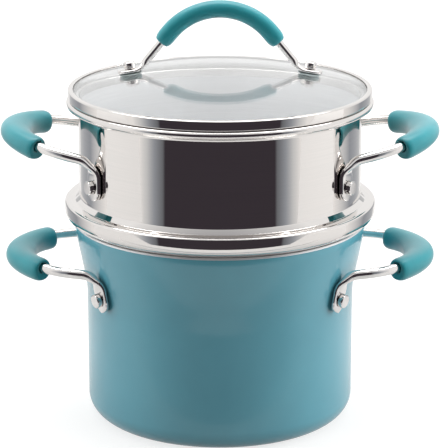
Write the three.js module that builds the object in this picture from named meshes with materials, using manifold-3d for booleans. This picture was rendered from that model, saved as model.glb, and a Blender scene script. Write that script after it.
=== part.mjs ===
// Multi-pot with steamer: an enamelled pot, a perforated steamer standing on the pot's rim and a domed
// glass lid. Millimetres, +Z up. The pot stands on Z = 0 at the origin and its side handles lie along X.
import * as THREE from 'three';
import { mergeVertices } from 'three/addons/utils/BufferGeometryUtils.js';
import Module from 'manifold-3d';

const wasm = await Module();
wasm.setup();

// Fits and fineness
const SEAT_GAP = 0.3;          // between pieces that rest on each other
const BORE_GAP = 0.3;          // round a rod in its grip and a shank in its hole
const CHORD_ERROR = 0.3;       // furthest a facet may lie from the arc it stands for
const TURN_FACETS = 36;        // facets round each turned piece
const ROD_FACETS = 8;
const GRIP_FACETS = 12;
const PIN_FACETS = 8;
const GLASS_RINGS = 5;         // steps of the dome from its axis to its edge
const MERGE_GAP = 0.0001;      // corners closer than this are one
const DIRECTION_REACH = 0.5;   // either side of a place where a line's direction is taken
const CUT_OVERRUN = 5;         // cutter beyond each face that it goes through

// Pot
const POT_HEIGHT = 134;
const POT_RADIUS = 88.8;       // outside, below the flare
const POT_FLARE = 7.6;         // rim beyond the wall below the flare
const POT_WALL = 3;
const POT_FLOOR = 4;
const POT_CORNER = 14.5;       // radius between floor and wall
const POT_FLARE_DROP = 44;     // below the rim, where the straight wall would meet the flare
const POT_FLARE_BEND = 70;
const POT_LIP = 5;             // upright stretch below the rim
const POT_LIP_BEND = 18;
const POT_RIM_ROUND = 1.2;
const POT_RIVET_DROP = 41;     // rivets below the rim
const POT_HANDLE_REACH = 38.9; // rod's far end beyond the wall

// Steamer
const STEAMER_SHEET = 0.8;
const STEAMER_INSET = 3.3;     // straight wall inside the line of the pot's rim
const STEAMER_DROP = 17;       // floor below the pot's rim
const SKIRT_CLEARANCE = 1.2;   // skirt to the inside of the pot's rim
const SKIRT_TAPER = 12;        // degrees
const SKIRT_CORNER = 4;
const LEDGE_INSET = 0.9;       // edge of the ledge inside the line of the pot's rim
const BEAD_OVERHANG = 9.7;     // bead beyond the straight wall
const BEAD_LIFT = 4.3;         // rise of the bead's sloping underside above the ledge
const BEAD_HEIGHT = 9.9;
const BEAD_UNDER_ROUND = 6.6;
const BEAD_TOP_ROUND = 2;
const BEAD_SLOPE = 0.4;        // rise of the bead's top towards the wall
const CONE_OVERHANG = 2.9;     // foot of the cone above the bead beyond the straight wall
const CONE_RISE = 3.2;         // from the bead's top to the foot of the straight wall
const CONE_ROUND = 1;
const STEAMER_WALL = 57;       // straight wall between the cone and the flare
const ROLL_RADIUS = 2.4;       // of the rolled rim's section
const ROLL_OVERHANG = 7.7;     // rolled rim beyond the wall
const ROLL_LIFT = 4.4;         // roll's centre above the top of the straight wall
const ROLL_START = -140;       // degrees from the outward side, where the flare runs into the roll
const ROLL_END = 110;          // degrees, where the roll runs back into the inside
const FLARE_ROUND = 3;
const STEAMER_RIVET_LIFT = 16; // rivets above the foot of the straight wall
const STEAMER_HANDLE_REACH = 40.9;
const HOLE_RADIUS = 3.5;
const HOLE_FACETS = 8;
const HOLE_RING_PITCH = 20;
const HOLE_RINGS = 3;
const HOLES_PER_RING = 6;      // added by each ring outwards

// Lid
const BAND_SHEET = 0.7;
const BAND_INSET = 1.2;        // band inside the line of the steamer's rolled rim
const BAND_HEIGHT = 6.6;
const BAND_LIP = 3.3;          // how far the band's top edge laps over the glass
const BAND_ROUND = 0.9;
const SPIGOT_CLEARANCE = 0.5;  // spigot inside the steamer's wall
const SPIGOT_DROP = 5;
const GLASS_THICKNESS = 4;
const GLASS_DOME_RADIUS = 343;

// Side handles
const ROD_RADIUS = 3.2;
const TAB_WIDTH = 13;
const TAB_THICKNESS = 3.8;
const TAB_BELOW = 8.8;         // tab's end below the rivet
const TAB_ABOVE = 7;           // flat stretch above the rivet
const TAB_CONTACT = 12;        // how far above the rivet the tab lies along a flared wall
const TAB_MORPH = 14;          // length over which the tab turns into the round rod
const RIVET_SPREAD = 102;      // between a handle's two rivets
const ARM_RISE = 16;           // corner of wall and arm above the rivet
const ARM_BEND = 12;
const BOW_RISE = 27;           // far end of the rod above the rivet
const BOW_HALF = 41;           // half width of the bow before it is rounded
const BOW_BEND = 48;
const GRIP_LENGTH = 87;        // along the rod
const GRIP_DROP = 1.5;         // grip's middle below the rod's
const GRIP_END_WIDTH = 15;
const GRIP_END_HEIGHT = 15.4;
const GRIP_MID_WIDTH = 21.6;
const GRIP_MID_HEIGHT = 14.8;
const GRIP_END_ROUND = 3.8;

// Rivets
const SHANK_RADIUS = 2.5;
const RIVET_HEAD_RADIUS = 4.6;
const RIVET_HEAD_HEIGHT = 3.4;
const RIVET_HEAD_ROUND = 0.9;
const RIVET_INNER_RADIUS = 4.6;
const RIVET_INNER_HEIGHT = 1.4;
const RIVET_INNER_GAP = 0.8;   // flat inner head to the hollow wall

// Lid handle
const LID_ROD_RADIUS = 2.6;
const LID_TAB_WIDTH = 11;
const LID_TAB_THICKNESS = 2.6;
const LID_TAB_OUTER = 8.2;     // tab's end beyond the bolt
const LID_TAB_INNER = 5.6;     // flat stretch inside the bolt
const LID_TAB_MORPH = 7;
const LID_BEND = 10;
const LID_BOLT_RADIUS = 58.2;  // bolt from the lid's axis
const ARCH_TOP = 38.4;         // centre line of the arch above the crown of the glass
const ARCH_RADIUS = 42.5;
const ARCH_LEG_ANGLE = 51;     // degrees below the horizontal
const LID_GRIP_LENGTH = 92;
const LID_GRIP_WIDTH = 11.5;
const LID_GRIP_END_WIDTH = 12;
const LID_GRIP_END_ROUND = 3.5;

// Lid bolts, gaskets, washers and nuts
const BOLT_SHANK_RADIUS = 2;
const BOLT_HEAD_RADIUS = 3.7;
const BOLT_HEAD_HEIGHT = 4.4;
const BOLT_HEAD_ROUND = 1;
const BOLT_TAIL = 1;           // shank beyond the nut
const GASKET_RADIUS = 7.4;
const GASKET_THICKNESS = 0.8;
const WASHER_RADIUS = 7;
const WASHER_THICKNESS = 1.5;
const NUT_RADIUS = 4.6;        // over its corners
const NUT_HEIGHT = 3.2;
const NUT_FACETS = 6;
const NUT_GAP = 0.4;

// Rings of a round end, as shares of the length over which it closes in
const END_RINGS = [0.06, 0.25, 0.55, 1];
const GRIP_END_SHARE = 0.76;   // size of a grip's outermost ring
const TAB_SQUARENESS = 5;      // of a tab's section
const ROUND_SQUARENESS = 2;
const GRIP_SQUARENESS = 2.3;
const GRIP_RING_PITCH = 9;

const DEGREE = Math.PI / 180;
const UP = new THREE.Vector3(0, 0, 1);
const ACROSS = new THREE.Vector3(0, 1, 0);

const ENAMEL = { color: 0x5b8f9b, roughness: 0.22, metalness: 0 };
const STEEL = { color: 0xc9c9c8, roughness: 0.12, metalness: 1 };
const GLASS = { color: 0xe4ebea, roughness: 0.04, metalness: 0, transparent: true, opacity: 0.35 };
const SILICONE = { color: 0x3d959e, roughness: 0.55, metalness: 0 };
const SOFT_GREY = { color: 0x9fa8a8, roughness: 0.6, metalness: 0 };

// A corner of a bent line, rounded by an arc
const corner = (x, z, fillet = 0, y = 0) => ({ at: new THREE.Vector3(x, y, z), fillet });

// Points along a line of corners, with an arc at each rounded one
function rounded(corners) {
  const points = [];
  corners.forEach(({ at, fillet }, i) => {
    const before = corners[i - 1];
    const after = corners[i + 1];
    if (!before || !after || fillet <= 0) {
      points.push(at.clone());
      return;
    }
    const entering = at.clone().sub(before.at).normalize();
    const leaving = after.at.clone().sub(at).normalize();
    const turn = entering.angleTo(leaving);
    const start = at.clone().addScaledVector(entering, -fillet * Math.tan(turn / 2));
    const inwards = leaving.clone().addScaledVector(entering, -entering.dot(leaving)).normalize();
    const centre = start.clone().addScaledVector(inwards, fillet);
    const widest = 2 * Math.acos(Math.max(0, 1 - CHORD_ERROR / fillet));
    const steps = Math.max(1, Math.ceil(turn / widest));
    for (let k = 0; k <= steps; k += 1) {
      const angle = (turn * k) / steps;
      points.push(
        centre
          .clone()
          .addScaledVector(inwards, -fillet * Math.cos(angle))
          .addScaledVector(entering, fillet * Math.sin(angle)),
      );
    }
  });
  return points;
}

// The same line of corners moved to its left by the thickness of a sheet
function offsetLeft(corners, thickness) {
  return corners.map(({ at, fillet }, i) => {
    const before = corners[i - 1] ?? corners[i];
    const after = corners[i + 1] ?? corners[i];
    const entering = at.clone().sub(before.at).normalize();
    const leaving = after.at.clone().sub(at).normalize();
    const first = new THREE.Vector3(-entering.z, 0, entering.x);
    const second = new THREE.Vector3(-leaving.z, 0, leaving.x);
    const sum = first.clone().add(second);
    const place = at.clone().addScaledVector(sum, (2 * thickness) / sum.lengthSq());
    const turnsLeft = entering.x * leaving.z - entering.z * leaving.x > 0;
    const grown = turnsLeft ? fillet - thickness : fillet + thickness;
    return { at: place, fillet: fillet > 0 ? Math.max(0, grown) : 0 };
  });
}

// Points of an arc in the XZ plane, from one angle to another
function arc(centre, radius, from, to) {
  const widest = 2 * Math.acos(1 - CHORD_ERROR / radius);
  const steps = Math.ceil((Math.abs(to - from) * DEGREE) / widest);
  return Array.from({ length: steps + 1 }, (_, k) => {
    const angle = (from + ((to - from) * k) / steps) * DEGREE;
    return new THREE.Vector3(centre.x + radius * Math.cos(angle), 0, centre.z + radius * Math.sin(angle));
  });
}

// Radius of an outside line at a height
function radiusAt(points, z) {
  const next = points.findIndex((p, i) => i > 0 && points[i - 1].z <= z && p.z >= z && p.z > points[i - 1].z);
  const low = points[next - 1];
  const high = points[next];
  return low.x + ((high.x - low.x) * (z - low.z)) / (high.z - low.z);
}

// Bare closed geometry: positions only, shared corners, no collapsed triangles
function bare(geometry) {
  geometry.deleteAttribute('normal');
  geometry.deleteAttribute('uv');
  const merged = mergeVertices(geometry, MERGE_GAP);
  const index = merged.index.array;
  const kept = [];
  for (let i = 0; i < index.length; i += 3) {
    const [a, b, c] = index.slice(i, i + 3);
    if (a !== b && b !== c && c !== a) kept.push(a, b, c);
  }
  merged.setIndex(kept);
  return merged;
}

// Solid of revolution about Z from a profile whose outer side runs upwards
function turned(points, facets = TURN_FACETS) {
  const profile = points.map((p) => new THREE.Vector2(p.x, p.z));
  return bare(new THREE.LatheGeometry(profile, facets).rotateX(Math.PI / 2));
}

// Ring about Z between two radii and two heights, its outer edges rounded
function ring(inner, outer, low, high, round, facets = PIN_FACETS) {
  const section = [
    corner(inner, low),
    corner(outer, low, round),
    corner(outer, high, round),
    corner(inner, high),
    corner(inner, low),
  ];
  return turned(rounded(section), facets);
}

// Pin along Z: a straight cylinder used to cut a round hole
function pin(radius, length, facets = PIN_FACETS) {
  return bare(new THREE.CylinderGeometry(radius, radius, length, facets).rotateX(Math.PI / 2));
}

const solidOf = (geometry) =>
  new wasm.Manifold(
    new wasm.Mesh({
      numProp: 3,
      vertProperties: new Float32Array(geometry.attributes.position.array),
      triVerts: new Uint32Array(geometry.index.array),
    }),
  );

function geometryOf(solid) {
  const mesh = solid.getMesh();
  return new THREE.BufferGeometry()
    .setAttribute('position', new THREE.BufferAttribute(new Float32Array(mesh.vertProperties), 3))
    .setIndex(new THREE.BufferAttribute(new Uint32Array(mesh.triVerts), 1));
}

function cutFrom(geometry, cutters) {
  return geometryOf(cutters.reduce((solid, cutter) => solid.subtract(solidOf(cutter)), solidOf(geometry)));
}

// A bent line that gives its point and direction at a distance along it
class BentLine {
  constructor(points) {
    this.points = points;
    this.marks = points.reduce(
      (marks, p, i) => (i ? [...marks, marks[i - 1] + p.distanceTo(points[i - 1])] : [0]),
      [],
    );
    this.length = this.marks[this.marks.length - 1];
  }

  segmentAt(distance) {
    const next = this.marks.findIndex((mark, i) => i > 0 && mark >= distance);
    return next < 0 ? this.points.length - 1 : next;
  }

  pointAt(distance) {
    const next = this.segmentAt(distance);
    const share = (distance - this.marks[next - 1]) / (this.marks[next] - this.marks[next - 1]);
    return this.points[next - 1].clone().lerp(this.points[next], share);
  }

  directionAt(distance) {
    const ahead = this.pointAt(Math.min(this.length, distance + DIRECTION_REACH));
    return ahead.sub(this.pointAt(Math.max(0, distance - DIRECTION_REACH))).normalize();
  }

  // The line's own corners between two distances
  marksBetween(from, to) {
    return this.marks.filter((mark) => mark > from && mark < to);
  }
}

// Distances in order, without any that nearly repeat
function thinned(distances, pitch) {
  const ordered = [...distances].sort((a, b) => a - b);
  return ordered.filter((d, i) => i === 0 || i === ordered.length - 1 || d - ordered[i - 1] > pitch);
}

// Closed body lofted through rings: each has a centre, a direction, a side axis and half sizes. The phase
// puts the first corner on the side axis (0) or half a facet past it.
function lofted(rings, facets, phase = 0.5) {
  const positions = [];
  const index = [];
  rings.forEach(({ centre, direction, side, halfWidth, halfHeight, squareness }) => {
    const width = side.clone().addScaledVector(direction, -side.dot(direction)).normalize();
    const height = direction.clone().cross(width);
    for (let k = 0; k < facets; k += 1) {
      const angle = (2 * Math.PI * (k + phase)) / facets;
      const [c, s] = [Math.cos(angle), Math.sin(angle)];
      const across = Math.sign(c) * Math.abs(c) ** (2 / squareness) * halfWidth;
      const upwards = Math.sign(s) * Math.abs(s) ** (2 / squareness) * halfHeight;
      const point = centre.clone().addScaledVector(width, across).addScaledVector(height, upwards);
      positions.push(point.x, point.y, point.z);
    }
  });
  for (let i = 0; i + 1 < rings.length; i += 1) {
    for (let k = 0; k < facets; k += 1) {
      const a = i * facets + k;
      const b = i * facets + ((k + 1) % facets);
      index.push(a, b, b + facets, a, b + facets, a + facets);
    }
  }
  const last = (rings.length - 1) * facets;
  for (let k = 1; k + 1 < facets; k += 1) {
    index.push(0, k + 1, k);
    index.push(last, last + k, last + k + 1);
  }
  const geometry = new THREE.BufferGeometry();
  geometry.setAttribute('position', new THREE.Float32BufferAttribute(positions, 3));
  geometry.setIndex(index);
  return geometry;
}

const blend = (from, to, value) => THREE.MathUtils.smoothstep(value, from, to);
const mix = THREE.MathUtils.lerp;

// Rod with a flat, round-ended tab at each end. The side axis at each place comes from sideAt.
function flattenedRod(line, tab, radius, sideAt) {
  const half = tab.width / 2;
  const flatEnd = tab.length;
  const roundFrom = tab.length + tab.morph;
  const oneEnd = [
    ...END_RINGS.map((share) => share * half),
    flatEnd,
    (flatEnd + roundFrom) / 2,
    roundFrom,
    ...line.marksBetween(half, line.length / 2),
    line.length / 2,
  ];
  const distances = thinned([...oneEnd, ...oneEnd.map((d) => line.length - d)], half / ROD_FACETS);
  const rings = distances.map((distance) => {
    const fromEnd = Math.min(distance, line.length - distance);
    const roundness = blend(flatEnd, roundFrom, fromEnd);
    const inset = Math.max(0, half - fromEnd);
    const tabHalf = Math.sqrt(half * half - inset * inset);
    return {
      centre: line.pointAt(distance),
      direction: line.directionAt(distance),
      side: sideAt(distance),
      halfWidth: mix(tabHalf, radius, roundness),
      halfHeight: mix(tab.thickness / 2, radius, roundness),
      squareness: mix(TAB_SQUARENESS, ROUND_SQUARENESS, roundness),
    };
  });
  return lofted(rings, ROD_FACETS);
}

// Plain round rod along the middle of a line, wide enough to bore a grip
function boreAlong(line, length, radius, sideAt) {
  const from = (line.length - length) / 2;
  const to = line.length - from;
  const distances = thinned([from, to, ...line.marksBetween(from, to)], 2 * radius / ROD_FACETS);
  const rings = distances.map((distance) => ({
    centre: line.pointAt(distance),
    direction: line.directionAt(distance),
    side: sideAt(distance),
    halfWidth: radius,
    halfHeight: radius,
    squareness: ROUND_SQUARENESS,
  }));
  return lofted(rings, ROD_FACETS);
}

// Soft grip round the middle of a rod, with round ends and a bore that clears the rod
function gripAlong(line, grip, rodRadius, sideAt) {
  const from = (line.length - grip.length) / 2;
  const count = Math.ceil((grip.length - 2 * grip.endRound) / GRIP_RING_PITCH);
  const inner = Array.from(
    { length: count + 1 },
    (_, k) => grip.endRound + ((grip.length - 2 * grip.endRound) * k) / count,
  );
  const ends = [0, ...END_RINGS.slice(1, -1)].map((share) => share * grip.endRound);
  const along = thinned([...ends, ...inner, ...ends.map((d) => grip.length - d)], 0);
  const rings = along.map((d) => {
    const fromEnd = Math.min(d, grip.length - d);
    const middle = blend(0, grip.length / 2, fromEnd);
    const inset = Math.max(0, 1 - fromEnd / grip.endRound);
    const closing = GRIP_END_SHARE + (1 - GRIP_END_SHARE) * Math.sqrt(1 - inset * inset);
    return {
      centre: line.pointAt(from + d).add(grip.shift),
      direction: line.directionAt(from + d),
      side: sideAt(from + d),
      halfWidth: (mix(grip.endWidth, grip.midWidth, middle) / 2) * closing,
      halfHeight: (mix(grip.endHeight, grip.midHeight, middle) / 2) * closing,
      squareness: GRIP_SQUARENESS,
    };
  });
  const bore = boreAlong(line, grip.length + 2 * CUT_OVERRUN, rodRadius + 2 * BORE_GAP, sideAt);
  return cutFrom(lofted(rings, GRIP_FACETS, 0), [bore]);
}

function piece(name, geometry, look) {
  const mesh = new THREE.Mesh(geometry, new THREE.MeshStandardMaterial(look));
  mesh.name = name;
  return mesh;
}

// Pot profile, outside then inside
const potRimRadius = POT_RADIUS + POT_FLARE;
const potRivetZ = POT_HEIGHT - POT_RIVET_DROP;
const potOutside = [
  corner(0, 0),
  corner(POT_RADIUS, 0, POT_CORNER),
  corner(POT_RADIUS, POT_HEIGHT - POT_FLARE_DROP, POT_FLARE_BEND),
  corner(potRimRadius, POT_HEIGHT - POT_LIP, POT_LIP_BEND),
  corner(potRimRadius, POT_HEIGHT, POT_RIM_ROUND),
];
const potInside = offsetLeft(potOutside.slice(1), POT_WALL);
potInside[0] = corner(POT_RADIUS - POT_WALL, POT_FLOOR, POT_CORNER - POT_WALL);
potInside[3] = corner(potRimRadius - POT_WALL, POT_HEIGHT, POT_RIM_ROUND);
const potOuterLine = rounded(potOutside.slice(0, -1).concat(corner(potRimRadius, POT_HEIGHT)));
const potProfile = rounded([...potOutside, ...potInside.reverse(), corner(0, POT_FLOOR)]);
const potRimInside = potRimRadius - POT_WALL;

// Steamer profile: its floor and skirt in the pot, ledge, bead, cone and wall
const steamerRadius = potRimRadius - STEAMER_INSET;
const beadRadius = steamerRadius + BEAD_OVERHANG;
const coneRadius = steamerRadius + CONE_OVERHANG;
const rimRadius = steamerRadius + ROLL_OVERHANG;
const ledgeZ = POT_HEIGHT + SEAT_GAP;
const steamerFloorZ = POT_HEIGHT - STEAMER_DROP;
const skirtTop = potRimInside - SKIRT_CLEARANCE;
const skirtFoot = skirtTop - (ledgeZ - steamerFloorZ) * Math.tan(SKIRT_TAPER * DEGREE);
const ledgeEdge = potRimRadius - LEDGE_INSET;
const beadLow = ledgeZ + BEAD_LIFT;
const beadTop = beadLow + BEAD_HEIGHT;
const coneFoot = beadTop + BEAD_SLOPE;
const wallFoot = coneFoot + CONE_RISE;
const wallTop = wallFoot + STEAMER_WALL;
const steamerOutside = [
  corner(0, steamerFloorZ),
  corner(skirtFoot, steamerFloorZ, SKIRT_CORNER),
  corner(skirtTop, ledgeZ),
  corner(ledgeEdge, ledgeZ),
  corner(beadRadius, beadLow, BEAD_UNDER_ROUND),
  corner(beadRadius, beadTop, BEAD_TOP_ROUND),
  corner(coneRadius, coneFoot),
  corner(steamerRadius, wallFoot, CONE_ROUND),
  corner(steamerRadius, wallTop, FLARE_ROUND),
];
const steamerInnerRadius = steamerRadius - STEAMER_SHEET;
const rollCentre = { x: rimRadius - ROLL_RADIUS, z: wallTop + ROLL_LIFT };
const rimTop = rollCentre.z + ROLL_RADIUS;
const roll = arc(rollCentre, ROLL_RADIUS, ROLL_START, ROLL_END);
const steamerInside = offsetLeft(steamerOutside, STEAMER_SHEET);
steamerInside[steamerInside.length - 1] = corner(steamerInnerRadius, rollCentre.z, FLARE_ROUND);
const rollStart = roll[0];
const rollEnd = roll[roll.length - 1];
const steamerProfile = [
  ...rounded([...steamerOutside, corner(rollStart.x, rollStart.z)]),
  ...roll.slice(1, -1),
  ...rounded([corner(rollEnd.x, rollEnd.z), ...steamerInside.reverse()]),
];

// Round holes of the steamer's floor, in rings about its middle
function floorHoles() {
  const places = [new THREE.Vector3(0, 0, steamerFloorZ)];
  for (let r = 1; r <= HOLE_RINGS; r += 1) {
    const count = r * HOLES_PER_RING;
    for (let k = 0; k < count; k += 1) {
      const angle = (2 * Math.PI * k) / count;
      const radius = r * HOLE_RING_PITCH;
      places.push(new THREE.Vector3(radius * Math.cos(angle), radius * Math.sin(angle), steamerFloorZ));
    }
  }
  return places.map((at) => pin(HOLE_RADIUS, 2 * CUT_OVERRUN, HOLE_FACETS).translate(at.x, at.y, at.z));
}

// One side handle in its own frame: X outwards from the vessel's axis, Z up from the rivets
class SideHandle {
  constructor(wallRadius, wallDepth, reach) {
    this.wallRadius = wallRadius;
    this.wallDepth = wallDepth;
    const tabRadius = wallRadius + SEAT_GAP + TAB_THICKNESS / 2;
    this.azimuth = Math.asin(RIVET_SPREAD / 2 / tabRadius);
    this.outwards = new THREE.Vector3(Math.cos(this.azimuth), -Math.sin(this.azimuth), 0);
    this.alongWall = new THREE.Vector3(Math.sin(this.azimuth), Math.cos(this.azimuth), 0);
    const tab = this.outwards.clone().multiplyScalar(tabRadius);
    const far = wallRadius + reach;
    const front = [
      corner(tab.x, -TAB_BELOW, 0, tab.y),
      corner(tab.x, ARM_RISE, ARM_BEND, tab.y),
      corner(far, BOW_RISE, BOW_BEND, -BOW_HALF),
    ];
    const rear = front.map(({ at, fillet }) => corner(at.x, at.z, fillet, -at.y)).reverse();
    this.line = new BentLine(rounded([...front, ...rear]));
    this.tilt = new THREE.Vector3(ARM_RISE - BOW_RISE, 0, far - tab.x).normalize();
  }

  // Side axis of the rod: along the wall at the tabs, level across the arms and the bow
  sideAt(distance) {
    const fromEnd = Math.min(distance, this.line.length - distance);
    const flat = this.alongWall.clone();
    if (distance > this.line.length / 2) flat.y *= -1;
    const across = this.tilt.clone().cross(this.line.directionAt(distance)).normalize();
    const share = blend(TAB_BELOW + TAB_ABOVE, TAB_BELOW + TAB_ABOVE + TAB_MORPH, fromEnd);
    return flat.lerp(across, share);
  }

  rod() {
    const tab = {
      width: TAB_WIDTH,
      thickness: TAB_THICKNESS,
      length: TAB_BELOW + TAB_ABOVE,
      morph: TAB_MORPH,
    };
    const rod = flattenedRod(this.line, tab, ROD_RADIUS, (d) => this.sideAt(d));
    return cutFrom(rod, this.rivetPlaces().map((place) => this.shankHole().applyMatrix4(place)));
  }

  grip() {
    const grip = {
      length: GRIP_LENGTH,
      endRound: GRIP_END_ROUND,
      endWidth: GRIP_END_WIDTH,
      endHeight: GRIP_END_HEIGHT,
      midWidth: GRIP_MID_WIDTH,
      midHeight: GRIP_MID_HEIGHT,
      shift: this.tilt.clone().multiplyScalar(-GRIP_DROP),
    };
    return gripAlong(this.line, grip, ROD_RADIUS, (d) => this.sideAt(d));
  }

  // Matrices that stand a rivet, made along Z, on the wall at the front and the rear tab
  rivetPlaces() {
    return [-1, 1].map((sign) => {
      const outwards = this.outwards.clone();
      outwards.y = sign * Math.abs(outwards.y);
      const turn = new THREE.Quaternion().setFromUnitVectors(UP, outwards);
      const place = outwards.clone().multiplyScalar(this.wallRadius);
      return new THREE.Matrix4().compose(place, turn, new THREE.Vector3(1, 1, 1));
    });
  }

  shankHole() {
    const reach = this.wallDepth + TAB_THICKNESS + RIVET_HEAD_HEIGHT;
    return pin(SHANK_RADIUS + BORE_GAP, 2 * reach);
  }

  rivet() {
    const innerTop = -this.wallDepth - RIVET_INNER_GAP;
    const headLow = TAB_THICKNESS + 2 * SEAT_GAP;
    const headTop = headLow + RIVET_HEAD_HEIGHT;
    return turned(
      rounded([
        corner(0, innerTop - RIVET_INNER_HEIGHT),
        corner(RIVET_INNER_RADIUS, innerTop - RIVET_INNER_HEIGHT, RIVET_HEAD_ROUND),
        corner(RIVET_INNER_RADIUS, innerTop),
        corner(SHANK_RADIUS, innerTop),
        corner(SHANK_RADIUS, headLow),
        corner(RIVET_HEAD_RADIUS, headLow),
        corner(RIVET_HEAD_RADIUS, headTop, RIVET_HEAD_ROUND),
        corner(0, headTop),
      ]),
      PIN_FACETS,
    );
  }
}

// Frame of a handle on its vessel: turned to the left or right and leaning with the wall
function handleFrame(wallRadius, height, lean, left) {
  const group = new THREE.Group();
  group.rotation.z = left ? Math.PI : 0;
  const leaning = new THREE.Group();
  leaning.position.set(wallRadius, 0, height);
  leaning.rotation.y = lean;
  const centred = new THREE.Group();
  centred.position.x = -wallRadius;
  leaning.add(centred);
  group.add(leaning);
  group.updateMatrixWorld(true);
  return { group, centred };
}

// A vessel: its body with rivet holes, and its left and right handles
function vessel(name, body, look, handle, height, lean) {
  const group = new THREE.Group();
  const holes = [];
  for (const side of ['left', 'right']) {
    const left = side === 'left';
    const frame = handleFrame(handle.wallRadius * Math.cos(handle.azimuth), height, lean, left);
    frame.centred.add(piece(`${name}_${side}_handle_rod`, handle.rod(), STEEL));
    frame.centred.add(piece(`${name}_${side}_handle_grip`, handle.grip(), SILICONE));
    handle.rivetPlaces().forEach((place, i) => {
      const end = (i === 0) === left ? 'rear' : 'front';
      const rivet = handle.rivet().applyMatrix4(place);
      frame.centred.add(piece(`${name}_${side}_${end}_rivet`, rivet, STEEL));
      const hole = handle.shankHole().applyMatrix4(place);
      holes.push(hole.applyMatrix4(frame.centred.matrixWorld));
    });
    group.add(frame.group);
  }
  group.add(piece(`${name}_body`, cutFrom(body, holes), look));
  return group;
}

// Pot: its tabs lie on the chord of the flare between their two ends
const tabFootZ = potRivetZ - TAB_BELOW;
const tabHeadZ = potRivetZ + TAB_CONTACT;
const tabFootRadius = radiusAt(potOuterLine, tabFootZ);
const tabHeadRadius = radiusAt(potOuterLine, tabHeadZ);
const chordSlope = (tabHeadRadius - tabFootRadius) / (tabHeadZ - tabFootZ);
const potTabRadius = tabFootRadius + chordSlope * TAB_BELOW;
const potInnerRadius = radiusAt(potOuterLine, potRivetZ) - POT_WALL;
const potHandle = new SideHandle(potTabRadius, potTabRadius - potInnerRadius, POT_HANDLE_REACH);
const potLean = Math.asin(Math.sin(Math.atan(chordSlope)) / Math.cos(potHandle.azimuth));
const pot = vessel('pot', turned(potProfile), ENAMEL, potHandle, potRivetZ, potLean);

// Steamer
const steamerHandle = new SideHandle(steamerRadius, STEAMER_SHEET, STEAMER_HANDLE_REACH);
const steamerBody = cutFrom(turned(steamerProfile), floorHoles());
const steamerRivetZ = wallFoot + STEAMER_RIVET_LIFT;
const steamer = vessel('steamer', steamerBody, STEEL, steamerHandle, steamerRivetZ, 0);

// Lid: band crimped round the glass, its spigot inside the steamer
const bandRadius = rimRadius - BAND_INSET;
const bandLow = rimTop + SEAT_GAP;
const bandTop = bandLow + BAND_HEIGHT;
const bandInside = bandRadius - BAND_SHEET;
const lipEdge = bandRadius - BAND_LIP;
const spigotOutside = steamerInnerRadius - SPIGOT_CLEARANCE;
const spigotInside = spigotOutside - BAND_SHEET;
const bandSection = [
  corner(spigotOutside, bandLow - SPIGOT_DROP),
  corner(spigotOutside, bandLow),
  corner(bandRadius, bandLow, BAND_ROUND),
  corner(bandRadius, bandTop, BAND_ROUND),
  corner(lipEdge, bandTop),
  corner(lipEdge, bandTop - BAND_SHEET),
  corner(bandInside, bandTop - BAND_SHEET),
  corner(bandInside, bandLow + BAND_SHEET),
  corner(spigotInside, bandLow + BAND_SHEET),
  corner(spigotInside, bandLow - SPIGOT_DROP),
  corner(spigotOutside, bandLow - SPIGOT_DROP),
];

// Glass: a cap of a sphere of even thickness, resting in the band
const glassEdge = bandInside - SEAT_GAP;
const glassLow = bandLow + BAND_SHEET + SEAT_GAP;
const domeDrop = (radius, r) => radius - Math.sqrt(radius * radius - r * r);
const innerDomeRadius = GLASS_DOME_RADIUS - GLASS_THICKNESS;
const crown = glassLow + domeDrop(innerDomeRadius, glassEdge) + GLASS_THICKNESS;
const glassTopAt = (r) => crown - domeDrop(GLASS_DOME_RADIUS, r);
const glassUnderAt = (r) => crown - GLASS_THICKNESS - domeDrop(innerDomeRadius, r);
const glassRadii = Array.from({ length: GLASS_RINGS + 1 }, (_, k) => (glassEdge * k) / GLASS_RINGS);
const glassProfile = [
  ...glassRadii.map((r) => new THREE.Vector3(r, 0, glassUnderAt(r))),
  ...glassRadii.reverse().map((r) => new THREE.Vector3(r, 0, glassTopAt(r))),
];

// Lid handle: legs rise from tabs on the glass to an arch, all in the XZ plane
const boltTilt = Math.asin(LID_BOLT_RADIUS / GLASS_DOME_RADIUS);
const boltNormal = new THREE.Vector3(Math.sin(boltTilt), 0, Math.cos(boltTilt));
const boltFoot = new THREE.Vector3(LID_BOLT_RADIUS, 0, glassTopAt(LID_BOLT_RADIUS));
const tabLow = GASKET_THICKNESS + 2 * SEAT_GAP;
const tabMiddle = boltFoot.clone().addScaledVector(boltNormal, tabLow + LID_TAB_THICKNESS / 2);
const tabSlope = Math.tan(boltTilt);
const legSlope = Math.tan(ARCH_LEG_ANGLE * DEGREE);
const archApex = crown + ARCH_TOP - ARCH_RADIUS + ARCH_RADIUS / Math.cos(ARCH_LEG_ANGLE * DEGREE);
const legFootX = (archApex - tabMiddle.z - tabSlope * tabMiddle.x) / (legSlope - tabSlope);
const legFoot = corner(legFootX, archApex - legSlope * legFootX, LID_BEND);
const tabEndX = tabMiddle.x + LID_TAB_OUTER * Math.cos(boltTilt);
const tabEnd = corner(tabEndX, tabMiddle.z - LID_TAB_OUTER * Math.sin(boltTilt));
const mirrored = ({ at, fillet }) => corner(-at.x, at.z, fillet);
const archCorners = [mirrored(tabEnd), mirrored(legFoot), corner(0, archApex, ARCH_RADIUS), legFoot, tabEnd];
const archLine = new BentLine(rounded(archCorners));
const lidTab = {
  width: LID_TAB_WIDTH,
  thickness: LID_TAB_THICKNESS,
  length: LID_TAB_OUTER + LID_TAB_INNER,
  morph: LID_TAB_MORPH,
};
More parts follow.
